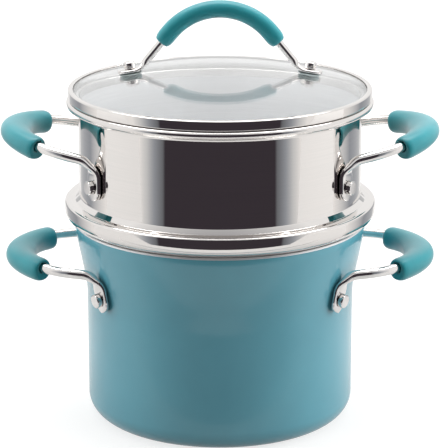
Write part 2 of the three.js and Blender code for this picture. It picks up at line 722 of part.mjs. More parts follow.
const lidGrip = {
  length: LID_GRIP_LENGTH,
  endRound: LID_GRIP_END_ROUND,
  endWidth: LID_GRIP_END_WIDTH,
  endHeight: LID_GRIP_END_WIDTH,
  midWidth: LID_GRIP_WIDTH,
  midHeight: LID_GRIP_WIDTH,
  shift: new THREE.Vector3(),
};

// Heights along a bolt, from the top of the glass
const underGlass = -GLASS_THICKNESS - NUT_GAP;
const nutTop = underGlass - WASHER_THICKNESS - SEAT_GAP;
const nutLow = nutTop - NUT_HEIGHT;
const boltHeadLow = tabLow + LID_TAB_THICKNESS + SEAT_GAP;
const boltHeadTop = boltHeadLow + BOLT_HEAD_HEIGHT;

function bolt() {
  return turned(
    rounded([
      corner(0, nutLow - BOLT_TAIL),
      corner(BOLT_SHANK_RADIUS, nutLow - BOLT_TAIL),
      corner(BOLT_SHANK_RADIUS, boltHeadLow),
      corner(BOLT_HEAD_RADIUS, boltHeadLow),
      corner(BOLT_HEAD_RADIUS, boltHeadTop, BOLT_HEAD_ROUND),
      corner(0, boltHeadTop),
    ]),
    PIN_FACETS,
  );
}

// The nut's bore has flats too, so its corners stand further out than the shank
const nutBore = (BOLT_SHANK_RADIUS + BORE_GAP) / Math.cos(Math.PI / NUT_FACETS);
const boltHole = BOLT_SHANK_RADIUS + BORE_GAP;
const gasketLow = SEAT_GAP;

// Frame of a lid bolt: Z along the bolt, its origin on the top of the glass
function boltFrame(left) {
  const group = new THREE.Group();
  group.position.set(left ? -boltFoot.x : boltFoot.x, 0, boltFoot.z);
  group.rotation.y = left ? -boltTilt : boltTilt;
  group.updateMatrixWorld(true);
  return group;
}

const lid = new THREE.Group();
const boltHoles = [];
for (const side of ['left', 'right']) {
  const frame = boltFrame(side === 'left');
  const washerLow = underGlass - WASHER_THICKNESS;
  const gasket = ring(boltHole, GASKET_RADIUS, gasketLow, gasketLow + GASKET_THICKNESS, 0, GRIP_FACETS);
  const washer = ring(boltHole, WASHER_RADIUS, washerLow, underGlass, 0, GRIP_FACETS);
  const nut = ring(nutBore, NUT_RADIUS, nutLow, nutTop, 0, NUT_FACETS);
  frame.add(piece(`lid_${side}_bolt`, bolt(), STEEL));
  frame.add(piece(`lid_${side}_gasket`, gasket, SOFT_GREY));
  frame.add(piece(`lid_${side}_washer`, washer, SOFT_GREY));
  frame.add(piece(`lid_${side}_nut`, nut, STEEL));
  const reach = boltHeadTop - nutLow;
  boltHoles.push(pin(boltHole, 2 * reach).applyMatrix4(frame.matrixWorld));
  lid.add(frame);
}
const acrossArch = () => ACROSS;
const lidRod = flattenedRod(archLine, lidTab, LID_ROD_RADIUS, acrossArch);
lid.add(piece('lid_glass', cutFrom(turned(glassProfile), boltHoles), GLASS));
lid.add(piece('lid_rim_band', turned(rounded(bandSection)), STEEL));
lid.add(piece('lid_handle_rod', cutFrom(lidRod, boltHoles), STEEL));
lid.add(piece('lid_handle_grip', gripAlong(archLine, lidGrip, LID_ROD_RADIUS, acrossArch), SILICONE));

const group = new THREE.Group();
group.add(pot, steamer, lid);
export default group;
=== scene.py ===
"""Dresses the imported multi-pot with steamer: smooth shells, rods, grips and glass in one studio scene."""

import logging
import math
from dataclasses import dataclass, field
from enum import Enum, IntEnum
from typing import Callable, Optional, Sequence

import bpy
from mathutils import Matrix, Vector


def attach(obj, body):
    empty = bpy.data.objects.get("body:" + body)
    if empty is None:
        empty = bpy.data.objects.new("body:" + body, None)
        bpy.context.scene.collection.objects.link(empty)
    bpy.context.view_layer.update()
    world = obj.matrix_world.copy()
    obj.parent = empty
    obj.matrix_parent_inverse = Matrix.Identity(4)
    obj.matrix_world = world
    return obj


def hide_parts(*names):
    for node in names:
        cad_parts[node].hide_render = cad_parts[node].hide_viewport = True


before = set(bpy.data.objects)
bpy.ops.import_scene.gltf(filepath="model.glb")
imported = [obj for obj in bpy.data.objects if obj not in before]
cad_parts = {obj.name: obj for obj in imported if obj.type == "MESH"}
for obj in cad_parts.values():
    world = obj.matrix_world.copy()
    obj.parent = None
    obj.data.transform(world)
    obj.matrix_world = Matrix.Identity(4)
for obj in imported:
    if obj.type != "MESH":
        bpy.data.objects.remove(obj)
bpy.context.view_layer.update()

LOG = logging.getLogger("multi_pot")
MM = 0.001
TURN_SEGMENTS = 192
PIN_SEGMENTS = 40
ROD_SIDES = 28
GRIP_SIDES = 48
ARC_STEP = math.radians(6.0)
SHARP_ANGLE = math.radians(38.0)
ROUND_SECTION = 2.0
UNDER_ROUND = 1.0 / 3.0
TINY = 1e-6
QUARTER_TURN = 90.0
UP = Vector((0.0, 0.0, 1.0))
ACROSS = Vector((0.0, 1.0, 0.0))
CAMERA_TARGET = Vector((0.0, 0.0, 0.129))
SRGB_TOE, SRGB_SLOPE, SRGB_OFFSET, SRGB_POWER = 0.04045, 12.92, 0.055, 2.4

Colour = tuple[float, float, float, float]
Place = tuple[float, float, float]
Stops = Sequence[tuple[float, Colour]]


class Body(str, Enum):
    """The bodies that lift apart."""

    POT = "pot"
    STEAMER = "steamer"
    LID = "lid"


class Slot(str, Enum):
    """The material slots."""

    ENAMEL = "enamel"
    STEEL = "steel"
    GLASS = "glass"
    SILICONE = "silicone"
    GASKET = "gasket"


class Axis(str, Enum):
    """An axis that a card's colours run along."""

    X = "X"
    Y = "Y"


class Face(IntEnum):
    """The faces of a piece, by material number."""

    OUTSIDE = 0
    INSIDE = 1
    RIM = 2


class Side(Enum):
    """A side of the object as the photograph shows it, with its sign along X."""

    LEFT = -1
    RIGHT = 1

    @property
    def label(self) -> str:
        """The side's name inside a node name."""
        return self.name.lower()


def linear(value: int) -> float:
    """Makes one channel of a displayed colour linear.

    Args:
        value: the displayed channel, 0 to 255.

    Returns:
        The linear channel, 0 to 1.
    """
    share = value / 255.0
    if share <= SRGB_TOE:
        return share / SRGB_SLOPE
    return ((share + SRGB_OFFSET) / (1.0 + SRGB_OFFSET)) ** SRGB_POWER


def srgb(red: int, green: int, blue: int) -> Colour:
    """Turns a displayed colour, 0 to 255, into the linear one that a shader takes."""
    return (linear(red), linear(green), linear(blue), 1.0)


# Bent lines and profiles


@dataclass(frozen=True)
class Corner:
    """A corner of a bent line in millimetres, rounded by an arc."""

    x: float
    z: float
    fillet: float = 0.0
    y: float = 0.0

    @property
    def at(self) -> Vector:
        """The corner's place."""
        return Vector((self.x, self.y, self.z))

    def mirrored_y(self) -> "Corner":
        """The same corner on the other side of the XZ plane."""
        return Corner(self.x, self.z, self.fillet, -self.y)

    def mirrored_x(self) -> "Corner":
        """The same corner on the other side of the YZ plane."""
        return Corner(-self.x, self.z, self.fillet, self.y)


def rounded(corners: Sequence[Corner]) -> list[Vector]:
    """Follows a line of corners, with an arc at each rounded one.

    Args:
        corners: the corners in order.

    Returns:
        The points along the line, in millimetres.
    """
    points: list[Vector] = []
    for i, corner in enumerate(corners):
        if i in (0, len(corners) - 1) or corner.fillet <= 0.0:
            points.append(corner.at)
            continue
        entering = (corner.at - corners[i - 1].at).normalized()
        leaving = (corners[i + 1].at - corner.at).normalized()
        turn = entering.angle(leaving)
        start = corner.at - entering * corner.fillet * math.tan(turn / 2.0)
        inwards = (leaving - entering * entering.dot(leaving)).normalized()
        centre = start + inwards * corner.fillet
        steps = max(2, math.ceil(turn / ARC_STEP))
        for k in range(steps + 1):
            angle = turn * k / steps
            arm = entering * math.sin(angle) - inwards * math.cos(angle)
            points.append(centre + arm * corner.fillet)
    return points


def offset_left(corners: Sequence[Corner], thickness: float) -> list[Corner]:
    """Moves a profile to its left by the thickness of a sheet.

    Args:
        corners: the profile's corners in the XZ plane.
        thickness: the sheet's thickness in millimetres.

    Returns:
        The corners of the other face, with their arcs made to run beside the first ones.
    """
    moved: list[Corner] = []
    for i, corner in enumerate(corners):
        before = corners[max(0, i - 1)].at
        after = corners[min(len(corners) - 1, i + 1)].at
        entering = (corner.at - before).normalized()
        leaving = (after - corner.at).normalized()
        total = Vector((-entering.z - leaving.z, 0.0, entering.x + leaving.x))
        place = corner.at + total * (2.0 * thickness / total.length_squared)
        turns_left = entering.x * leaving.z - entering.z * leaving.x > 0.0
        fillet = corner.fillet - thickness if turns_left else corner.fillet + thickness
        moved.append(Corner(place.x, place.z, max(0.0, fillet)))
    return moved


def arc(centre: Corner, radius: float, start: float, end: float) -> list[Vector]:
    """Follows an arc in the XZ plane.

    Args:
        centre: the arc's centre.
        radius: its radius in millimetres.
        start: its first angle in degrees from +X.
        end: its last angle in degrees.

    Returns:
        The points along the arc.
    """
    steps = math.ceil(math.radians(abs(end - start)) / (2.0 * ARC_STEP))
    angles = [math.radians(start + (end - start) * k / steps) for k in range(steps + 1)]
    return [centre.at + Vector((math.cos(a), 0.0, math.sin(a))) * radius for a in angles]


def smooth_step(low: float, high: float, value: float) -> float:
    """Rises smoothly from 0 at low to 1 at high."""
    share = min(1.0, max(0.0, (value - low) / (high - low)))
    return share * share * (3.0 - 2.0 * share)


def mix(first: float, second: float, share: float) -> float:
    """Goes from first to second as share goes from 0 to 1."""
    return first + (second - first) * share


def spaced(
    length: float,
    end_round: float,
    first_angle: float,
    end_steps: int,
    pitch: float,
) -> list[float]:
    """Spaces the sections of a round-ended body, closest together at its ends.

    Args:
        length: the body's length.
        end_round: the radius of its ends.
        first_angle: where the first section lies on that round, in degrees from its tip.
        end_steps: steps round an end.
        pitch: the widest step between the ends.

    Returns:
        The sections' distances from the first end.
    """
    shares = [k / end_steps for k in range(end_steps + 1)]
    angles = [math.radians(mix(first_angle, QUARTER_TURN, share)) for share in shares]
    end = [end_round * (1.0 - math.cos(angle)) for angle in angles]
    middle = length - 2.0 * end_round
    count = math.ceil(middle / pitch)
    inner = [end_round + middle * k / count for k in range(1, count)]
    return end + inner + [length - distance for distance in reversed(end)]


class BentLine:
    """A bent line that gives its point and direction at a distance along it."""

    REACH = 0.6

    def __init__(self, points: Sequence[Vector]) -> None:
        """Measures the line.

        Args:
            points: the line's points in millimetres.
        """
        self.points = list(points)
        self.marks = [0.0]
        for first, second in zip(self.points, self.points[1:]):
            self.marks.append(self.marks[-1] + (second - first).length)
        self.length = self.marks[-1]

    def point_at(self, distance: float) -> Vector:
        """Finds the point at a distance from the line's start.

        Args:
            distance: the distance in millimetres, held to the line's length.

        Returns:
            The point.
        """
        distance = min(self.length, max(0.0, distance))
        after = next(i for i, mark in enumerate(self.marks) if i and mark >= distance - TINY)
        span = self.marks[after] - self.marks[after - 1]
        return self.points[after - 1].lerp(self.points[after], (distance - self.marks[after - 1]) / span)

    def direction_at(self, distance: float) -> Vector:
        """The direction of travel at a distance from the line's start."""
        ahead = self.point_at(distance + self.REACH)
        return (ahead - self.point_at(distance - self.REACH)).normalized()


# Meshes


@dataclass
class Skin:
    """Points and faces of a mesh in millimetres, with a material number per face."""

    points: list[Vector]
    faces: list[tuple[int, ...]]
    paints: list[int]

    def joined(self, other: "Skin") -> "Skin":
        """Joins this skin and another one.

        Args:
            other: the other skin.

        Returns:
            Both as a single skin.
        """
        shift = len(self.points)
        faces = [tuple(i + shift for i in face) for face in other.faces]
        return Skin(self.points + other.points, self.faces + faces, self.paints + other.paints)

    def moved(self, matrix: Matrix) -> "Skin":
        """This skin carried by a matrix."""
        return Skin([matrix @ p for p in self.points], list(self.faces), list(self.paints))


def revolve(
    profile: Sequence[Vector],
    segments: int,
    paint: Callable[[int], int] = lambda _: Face.OUTSIDE,
) -> Skin:
    """Turns a profile about Z.

    Args:
        profile: points whose outer side runs upwards; the ends may lie on the axis.
        segments: facets round the turn.
        paint: gives the material number of a profile segment.

    Returns:
        The closed or open skin of revolution.
    """
    points: list[Vector] = []
    rows: list[list[int]] = []
    for place in profile:
        if place.x < TINY:
            rows.append([len(points)] * segments)
            points.append(Vector((0.0, 0.0, place.z)))
            continue
        rows.append(list(range(len(points), len(points) + segments)))
        for k in range(segments):
            angle = 2.0 * math.pi * k / segments
            points.append(Vector((place.x * math.cos(angle), place.x * math.sin(angle), place.z)))
    faces: list[tuple[int, ...]] = []
    paints: list[int] = []
    for j, (low, high) in enumerate(zip(rows, rows[1:])):
        for k in range(segments):
            n = (k + 1) % segments
            ring = [low[k], low[n], high[n], high[k]]
            face = tuple(dict.fromkeys(ring))
            if len(face) > 2:
                faces.append(face)
                paints.append(paint(j))
    return Skin(points, faces, paints)


@dataclass
class Ring:
    """One section of a lofted body."""

    centre: Vector
    direction: Vector
    side: Vector
    half_width: float
    half_height: float
    squareness: float = ROUND_SECTION

    def points(self, count: int) -> list[Vector]:
        """The section's points, round its direction of travel.

        Args:
            count: points round the section.

        Returns:
            The points in order.
        """
        width = (self.side - self.direction * self.side.dot(self.direction)).normalized()
        height = self.direction.cross(width)
        places: list[Vector] = []
        power = ROUND_SECTION / self.squareness
        for k in range(count):
            angle = 2.0 * math.pi * k / count
            c, s = math.cos(angle), math.sin(angle)
            across = math.copysign(abs(c) ** power, c) * self.half_width
            upwards = math.copysign(abs(s) ** power, s) * self.half_height
            places.append(self.centre + width * across + height * upwards)
        return places


def loft(rings: Sequence[Ring], count: int) -> Skin:
    """Closes a skin through rings.

    Args:
        rings: the sections in order.
        count: points round each section.

    Returns:
        The closed skin.
    """
    points = [p for ring in rings for p in ring.points(count)]
    faces: list[tuple[int, ...]] = []
    for i in range(len(rings) - 1):
        for k in range(count):
            a, b = i * count + k, i * count + (k + 1) % count
            faces.append((a, b, b + count, a + count))
    last = (len(rings) - 1) * count
    faces.append(tuple(reversed(range(count))))
    faces.append(tuple(range(last, last + count)))
    return Skin(points, faces, [Face.OUTSIDE] * len(faces))


def perforated_disc(
    radius: float,
    low: float,
    high: float,
    holes: Sequence[tuple[float, float]],
    bore: float,
    paint: Face,
) -> Skin:
    """Fills a flat disc with round holes in it.

    Args:
        radius: the disc's radius in millimetres.
        low: its underside.
        high: its top.
        holes: the holes' middles.
        bore: the holes' radius.
        paint: its material number.

    Returns:
        The disc's skin.
    """
    curve = bpy.data.curves.new("disc_outline", "CURVE")
    curve.dimensions = "2D"
    curve.fill_mode = "BOTH"
    curve.extrude = (high - low) / 2.0
    rims = [(0.0, 0.0, radius, TURN_SEGMENTS)] + [(x, y, bore, PIN_SEGMENTS) for x, y in holes]
    for x, y, size, count in rims:
        spline = curve.splines.new("POLY")
        spline.use_cyclic_u = True
        spline.points.add(count - 1)
        for k, point in enumerate(spline.points):
            angle = 2.0 * math.pi * k / count
            point.co = (x + size * math.cos(angle), y + size * math.sin(angle), 0.0, 1.0)
    holder = bpy.data.objects.new("disc_outline", curve)
    filled = holder.to_mesh()
    middle = (low + high) / 2.0
    points = [v.co + Vector((0.0, 0.0, middle)) for v in filled.vertices]
    faces = [tuple(p.vertices) for p in filled.polygons]
    holder.to_mesh_clear()
    bpy.data.objects.remove(holder)
    bpy.data.curves.remove(curve)
    return Skin(points, faces, [paint] * len(faces))


# Shader building


def fill(node: bpy.types.Node, values: dict[str, object]) -> None:
    """Sets a node's inputs by socket name, with underscores for spaces."""
    for name, value in values.items():
        node.inputs[name.replace("_", " ")].default_value = value


class Graph:
    """A node tree under construction."""

    def __init__(self, tree: bpy.types.NodeTree) -> None:
        """Empties the tree.

        Args:
            tree: the tree to fill.
        """
        self.tree = tree
        self.tree.nodes.clear()

    def node(self, kind: str, settings: Optional[dict] = None, **values: object) -> bpy.types.Node:
        """Adds a node.

        Args:
            kind: the node's type.
            settings: properties of the node itself.
            values: input values by socket name, with underscores for spaces.

        Returns:
            The node.
        """
        made = self.tree.nodes.new(kind)
        for name, value in (settings or {}).items():
            setattr(made, name, value)
        fill(made, values)
        return made

    def link(self, source: bpy.types.NodeSocket, target: bpy.types.NodeSocket) -> None:
        """Joins an output to an input."""
        self.tree.links.new(source, target)

    def place(self, kind: str = "Object") -> bpy.types.NodeSocket:
        """The places on the surface, as one kind of texture coordinates."""
        return self.node("ShaderNodeTexCoord").outputs[kind]

    def axes(self, kind: str = "Object") -> bpy.types.bpy_prop_collection:
        """Splits the places on the surface.

        Args:
            kind: the kind of texture coordinates.

        Returns:
            The outputs X, Y and Z.
        """
        parts = self.node("ShaderNodeSeparateXYZ")
        self.link(self.place(kind), parts.inputs["Vector"])
        return parts.outputs

    def maths(self, operation: str, *operands: object) -> bpy.types.NodeSocket:
        """Works out a value from sockets and numbers.

        Args:
            operation: the operation's name.
            operands: sockets or numbers.

        Returns:
            The result's socket.
        """
        made = self.node("ShaderNodeMath", {"operation": operation})
        for i, operand in enumerate(operands):
            if isinstance(operand, (int, float)):
                made.inputs[i].default_value = operand
            else:
                self.link(operand, made.inputs[i])
        return made.outputs[0]

    def ramp(self, value: bpy.types.NodeSocket, stops: Stops) -> bpy.types.NodeSocket:
        """Turns a value into a colour.

        Args:
            value: the value's socket.
            stops: places and colours along the ramp.

        Returns:
            The colour's socket.
        """
        made = self.node("ShaderNodeValToRGB")
        elements = made.color_ramp.elements
        while len(elements) < len(stops):
            elements.new(1.0)
        for element, (place, colour) in zip(elements, stops):
            element.position = place
            element.color = colour
        self.link(value, made.inputs["Fac"])
        return made.outputs["Color"]


def new_group(
    name: str,
    inputs: dict[str, float],
    outputs: Sequence[str],
) -> tuple[Graph, bpy.types.Node, bpy.types.Node]:
    """Starts a shader node group of plain values.

    Args:
        name: the group's name.
        inputs: its inputs and their first values.
        outputs: its outputs.

    Returns:
        The group's graph, its input node and its output node.
    """
    tree = bpy.data.node_groups.new(name, "ShaderNodeTree")
    for label, value in inputs.items():
        socket = tree.interface.new_socket(label, in_out="INPUT", socket_type="NodeSocketFloat")
        socket.default_value = value
    for label in outputs:
        tree.interface.new_socket(label, in_out="OUTPUT", socket_type="NodeSocketFloat")
    graph = Graph(tree)
    return graph, graph.node("NodeGroupInput"), graph.node("NodeGroupOutput")


class Effect(str, Enum):
    """The surface effects that several finishes share."""

    MOTTLE = "mottle"
    BRUSHING = "brushing"
    HANDLING = "handling"


class Effects:
    """The shared effects, each built once as a node group."""

    MOTTLE_INPUTS = {"Scale": 40.0, "Grain Scale": 900.0}
    BRUSHING_INPUTS = {"Pitch": 2200.0}
    HANDLING_INPUTS = {"Scale": 14.0, "Amount": 1.0}
    CLOUD = {"Detail": 3.0, "Roughness": 0.55}
    GRAIN = {"Detail": 2.0, "Roughness": 0.5}
    LINES = {"Scale": 1.0, "Detail": 2.0, "Roughness": 0.7}
    SMUDGE = {"Detail": 2.0, "Roughness": 0.5}
    SMUDGE_SPAN = {"From_Min": 0.4, "From_Max": 0.8}

    def __init__(self) -> None:
        """Builds the groups."""
        self.trees = {
            Effect.MOTTLE: self._mottle(),
            Effect.BRUSHING: self._brushing(),
            Effect.HANDLING: self._handling(),
        }

    def _mottle(self) -> bpy.types.NodeTree:
        """Builds a cloudy variation with a fine grain on it.

        Returns:
            The group, with both values from 0 to 1.
        """
        graph, given, made = new_group(Effect.MOTTLE.value, self.MOTTLE_INPUTS, ("Cloud", "Grain"))
        place = graph.place()
        cloud = graph.node("ShaderNodeTexNoise", **self.CLOUD)
        grain = graph.node("ShaderNodeTexNoise", **self.GRAIN)
        for noise, scale in ((cloud, "Scale"), (grain, "Grain Scale")):
            graph.link(place, noise.inputs["Vector"])
            graph.link(given.outputs[scale], noise.inputs["Scale"])
        graph.link(cloud.outputs["Fac"], made.inputs["Cloud"])
        graph.link(grain.outputs["Fac"], made.inputs["Grain"])
        return graph.tree

    def _brushing(self) -> bpy.types.NodeTree:
        """Builds fine level lines round a turned piece.

        Returns:
            The group, with its value from 0 to 1.
        """
        graph, given, made = new_group(Effect.BRUSHING.value, self.BRUSHING_INPUTS, ("Lines",))
        axes = graph.axes()
        stretched = graph.node("ShaderNodeCombineXYZ")
        turn = graph.maths("ARCTAN2", axes["Y"], axes["X"])
        rise = graph.maths("MULTIPLY", axes["Z"], given.outputs["Pitch"])
        graph.link(turn, stretched.inputs["X"])
        graph.link(rise, stretched.inputs["Z"])
        noise = graph.node("ShaderNodeTexNoise", **self.LINES)
        graph.link(stretched.outputs["Vector"], noise.inputs["Vector"])
        graph.link(noise.outputs["Fac"], made.inputs["Lines"])
        return graph.tree

    def _handling(self) -> bpy.types.NodeTree:
        """Builds the sparse soft smudges left by hands and cloths.

        Returns:
            The group, with its value from 0 to 1.
        """
        graph, given, made = new_group(Effect.HANDLING.value, self.HANDLING_INPUTS, ("Smudge",))
        noise = graph.node("ShaderNodeTexNoise", **self.SMUDGE)
        graph.link(graph.place(), noise.inputs["Vector"])
        graph.link(given.outputs["Scale"], noise.inputs["Scale"])
        soft = graph.node("ShaderNodeMapRange", {"interpolation_type": "SMOOTHSTEP"}, **self.SMUDGE_SPAN)
        graph.link(noise.outputs["Fac"], soft.inputs["Value"])
        amount = graph.maths("MULTIPLY", soft.outputs["Result"], given.outputs["Amount"])
        graph.link(amount, made.inputs["Smudge"])
        return graph.tree


class Finish:
    """A material under construction: its graph, its shader and its output."""

    def __init__(self, name: str) -> None:
        """Starts a material.

        Args:
            name: the material's name.
        """
        self.material = bpy.data.materials.new(name)
        self.material.use_nodes = True
        self.graph = Graph(self.material.node_tree)
        self.output = self.graph.node("ShaderNodeOutputMaterial")
        self.shader = self.graph.node("ShaderNodeBsdfPrincipled")
        self.graph.link(self.shader.outputs["BSDF"], self.output.inputs["Surface"])

    def set(self, **values: object) -> None:
        """Sets constants on the shader's own sockets."""
        fill(self.shader, values)

    def effect(self, tree: bpy.types.NodeTree, **values: float) -> bpy.types.Node:
        """Places a shared effect with its own values."""
        return self.graph.node("ShaderNodeGroup", {"node_tree": tree}, **values)

    def colour(self, value: bpy.types.NodeSocket, stops: Stops) -> None:
        """Feeds the base colour from a ramp."""
        self.graph.link(self.graph.ramp(value, stops), self.shader.inputs["Base Color"])

    def roughness(self, value: bpy.types.NodeSocket, low: float, high: float) -> None:
        """Feeds the roughness from a value spread over a range."""
        spread = self.graph.maths("MULTIPLY_ADD", value, high - low, low)
        self.graph.link(spread, self.shader.inputs["Roughness"])

    def bump(self, height: bpy.types.NodeSocket, strength: float, depth: float) -> None:
        """Feeds the normal from a height.

        Args:
            height: the height's socket.
            strength: how much of it shows.
            depth: its depth in metres.
        """
        made = self.graph.node("ShaderNodeBump", Strength=strength, Distance=depth)
        self.graph.link(height, made.inputs["Height"])
        self.graph.link(made.outputs["Normal"], self.shader.inputs["Normal"])


class Pattern(Enum):
    """An effect's output that leads a shade, a roughness or a bump."""

    CLOUD = (Effect.MOTTLE, "Cloud")
    GRAIN = (Effect.MOTTLE, "Grain")
    LINES = (Effect.BRUSHING, "Lines")
    SMUDGE = (Effect.HANDLING, "Smudge")


@dataclass(frozen=True)
class Coating:
    """An opaque finish: shades, a span of roughness and a fine bump, each led by a pattern."""

    name: str
    effects: dict[Effect, dict[str, float]]
    shaded_by: Pattern
    shades: Stops
    roughened_by: Pattern
    roughness: tuple[float, float]
    bumped_by: Pattern
    bump: tuple[float, float]
    constants: dict[str, float] = field(default_factory=dict)

    def make(self, shared: Effects) -> bpy.types.Material:
        """Builds the material.

        Args:
            shared: the shared effects.

        Returns:
            The material.
        """
        finish = Finish(self.name)
        chosen = self.effects.items()
        placed = {kind: finish.effect(shared.trees[kind], **values) for kind, values in chosen}

        def led_by(pattern: Pattern) -> bpy.types.NodeSocket:
            """The socket that a pattern comes from."""
            kind, output = pattern.value
            return placed[kind].outputs[output]

        finish.colour(led_by(self.shaded_by), self.shades)
        finish.roughness(led_by(self.roughened_by), *self.roughness)
        finish.bump(led_by(self.bumped_by), *self.bump)
        finish.set(**self.constants)
        return finish.material


# Glossy blue-green enamel fused on the pot's outside
ENAMEL = Coating(
    name="gloss_enamel",
    effects={
        Effect.MOTTLE: {"Scale": 22.0, "Grain_Scale": 420.0},
        Effect.HANDLING: {"Scale": 9.0, "Amount": 0.6},
    },
    shaded_by=Pattern.CLOUD,
    shades=((0.3, srgb(83, 155, 172)), (0.7, srgb(88, 161, 178))),
    roughened_by=Pattern.SMUDGE,
    roughness=(0.36, 0.42),
    bumped_by=Pattern.GRAIN,
    bump=(0.03, 0.0002),
    constants={"IOR": 1.5, "Coat_Weight": 0.8, "Coat_Roughness": 0.12, "Coat_IOR": 1.5},
)

# Dark speckled cooking surface inside the pot
NONSTICK = Coating(
    name="speckled_nonstick",
    effects={Effect.MOTTLE: {"Scale": 60.0, "Grain_Scale": 1400.0}},
    shaded_by=Pattern.GRAIN,
    shades=((0.6, srgb(52, 54, 57)), (0.72, srgb(92, 95, 98))),
    roughened_by=Pattern.CLOUD,
    roughness=(0.36, 0.5),
    bumped_by=Pattern.GRAIN,
    bump=(0.08, 0.0002),
)

# Mirror-polished drawn sheet with the faint level lines of its polishing
POLISHED_SHEET = Coating(
    name="polished_sheet_steel",
    effects={
        Effect.BRUSHING: {"Pitch": 1500.0},
        Effect.HANDLING: {"Scale": 11.0, "Amount": 1.0},
    },
    shaded_by=Pattern.LINES,
    shades=((0.35, srgb(227, 224, 221)), (0.65, srgb(231, 227, 224))),
    roughened_by=Pattern.SMUDGE,
    roughness=(0.03, 0.06),
    bumped_by=Pattern.LINES,
    bump=(0.006, 0.0001),
    constants={"Metallic": 1.0},
)

# Satin inside of the steamer and bare rim of the pot
SATIN_SHEET = Coating(
    name="satin_sheet_steel",
    effects={
        Effect.BRUSHING: {"Pitch": 900.0},
        Effect.HANDLING: {"Scale": 14.0, "Amount": 1.0},
    },
    shaded_by=Pattern.LINES,
    shades=((0.35, srgb(229, 229, 230)), (0.65, srgb(237, 237, 238))),
    roughened_by=Pattern.SMUDGE,
    roughness=(0.3, 0.38),
    bumped_by=Pattern.LINES,
    bump=(0.05, 0.0001),
    constants={"Metallic": 0.5},
)

# Polished bent rod, bolts and rivets
POLISHED_ROD = Coating(
    name="polished_rod_steel",
    effects={
        Effect.MOTTLE: {"Scale": 120.0, "Grain_Scale": 1600.0},
        Effect.HANDLING: {"Scale": 45.0, "Amount": 0.8},
    },
    shaded_by=Pattern.CLOUD,
    shades=((0.35, srgb(224, 221, 219)), (0.65, srgb(236, 233, 231))),
    roughened_by=Pattern.SMUDGE,
    roughness=(0.06, 0.12),
    bumped_by=Pattern.GRAIN,
    bump=(0.015, 0.0001),
    constants={"Metallic": 1.0},
)

# Satin moulded silicone of the grips
SILICONE = Coating(
    name="satin_silicone",
    effects={
        Effect.MOTTLE: {"Scale": 70.0, "Grain_Scale": 1500.0},
        Effect.HANDLING: {"Scale": 40.0, "Amount": 0.7},
    },
    shaded_by=Pattern.CLOUD,
    shades=((0.35, srgb(4, 133, 143)), (0.65, srgb(8, 140, 150))),
    roughened_by=Pattern.SMUDGE,
    roughness=(0.4, 0.46),
    bumped_by=Pattern.GRAIN,
    bump=(0.06, 0.0002),
    constants={"IOR": 1.56, "Sheen_Weight": 0.55, "Sheen_Roughness": 0.4},
)

# Milky silicone of the gaskets and washers on the glass
SOFT_GASKET = Coating(
    name="milky_gasket",
    effects={Effect.MOTTLE: {"Scale": 90.0, "Grain_Scale": 1200.0}},
    shaded_by=Pattern.CLOUD,
    shades=((0.3, srgb(142, 154, 154)), (0.7, srgb(168, 178, 178))),
    roughened_by=Pattern.GRAIN,
    roughness=(0.4, 0.6),
    bumped_by=Pattern.GRAIN,
    bump=(0.08, 0.0002),
)


@dataclass(frozen=True)
class ClearGlass:
    """Clear tempered glass with a trace of green, letting lamp light through to what it covers."""

    tint: Colour = srgb(253, 254, 254)
    ior: float = 1.68
    smudge_scale: float = 16.0
    smudge_amount: float = 1.0
    roughness: tuple[float, float] = (0.0, 0.02)

    def make(self, shared: Effects) -> bpy.types.Material:
        """Builds the material.

        Args:
            shared: the shared effects.

        Returns:
            The material.
        """
        finish = Finish("clear_glass")
        graph = finish.graph
        tree = shared.trees[Effect.HANDLING]
        smudge = finish.effect(tree, Scale=self.smudge_scale, Amount=self.smudge_amount)
        finish.roughness(smudge.outputs["Smudge"], *self.roughness)
        finish.set(Base_Color=self.tint, Transmission_Weight=1.0, IOR=self.ior, Metallic=0.0)
        path = graph.node("ShaderNodeLightPath")
        through = graph.node("ShaderNodeBsdfTransparent", Color=self.tint)
        choice = graph.node("ShaderNodeMixShader")
        lighting = graph.maths("MAXIMUM", path.outputs["Is Shadow Ray"], path.outputs["Is Diffuse Ray"])
        graph.link(lighting, choice.inputs["Fac"])
        graph.link(finish.shader.outputs["BSDF"], choice.inputs[1])
        graph.link(through.outputs["BSDF"], choice.inputs[2])
        graph.link(choice.outputs["Shader"], finish.output.inputs["Surface"])
        return finish.material


class Wardrobe:
    """Every finish, made once."""

    def __init__(self) -> None:
        """Builds the shared effects and the materials."""
        shared = Effects()
        self.enamel = ENAMEL.make(shared)
        self.nonstick = NONSTICK.make(shared)
        self.sheet = POLISHED_SHEET.make(shared)
        self.satin = SATIN_SHEET.make(shared)
        self.rod = POLISHED_ROD.make(shared)
        self.silicone = SILICONE.make(shared)
        self.gasket = SOFT_GASKET.make(shared)
        self.glass = ClearGlass().make(shared)


def place_piece(
    name: str,
    skin: Skin,
    materials: Sequence[bpy.types.Material],
    body: Body,
    nodes: Sequence[str],
) -> None:
    """Makes a piece of the object, smooth but for its sharp edges, and ties it to its body.

    Args:
        name: the piece's name.
        skin: its mesh in millimetres.
        materials: its materials, by the skin's material numbers.
        body: the body it rides on.
        nodes: the CAD nodes it stands for.
    """
    mesh = bpy.data.meshes.new(name)
    mesh.from_pydata([p * MM for p in skin.points], [], skin.faces)
    for material in materials:
        mesh.materials.append(material)
    mesh.polygons.foreach_set("material_index", skin.paints)
    mesh.shade_smooth()
    mesh.set_sharp_from_angle(angle=SHARP_ANGLE)
    mesh.update()
    piece = bpy.data.objects.new(name, mesh)
    bpy.context.scene.collection.objects.link(piece)
    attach(piece, body.value)
    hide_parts(*nodes)
    LOG.info("%s rides on %s, %d faces", name, body.value, len(skin.faces))


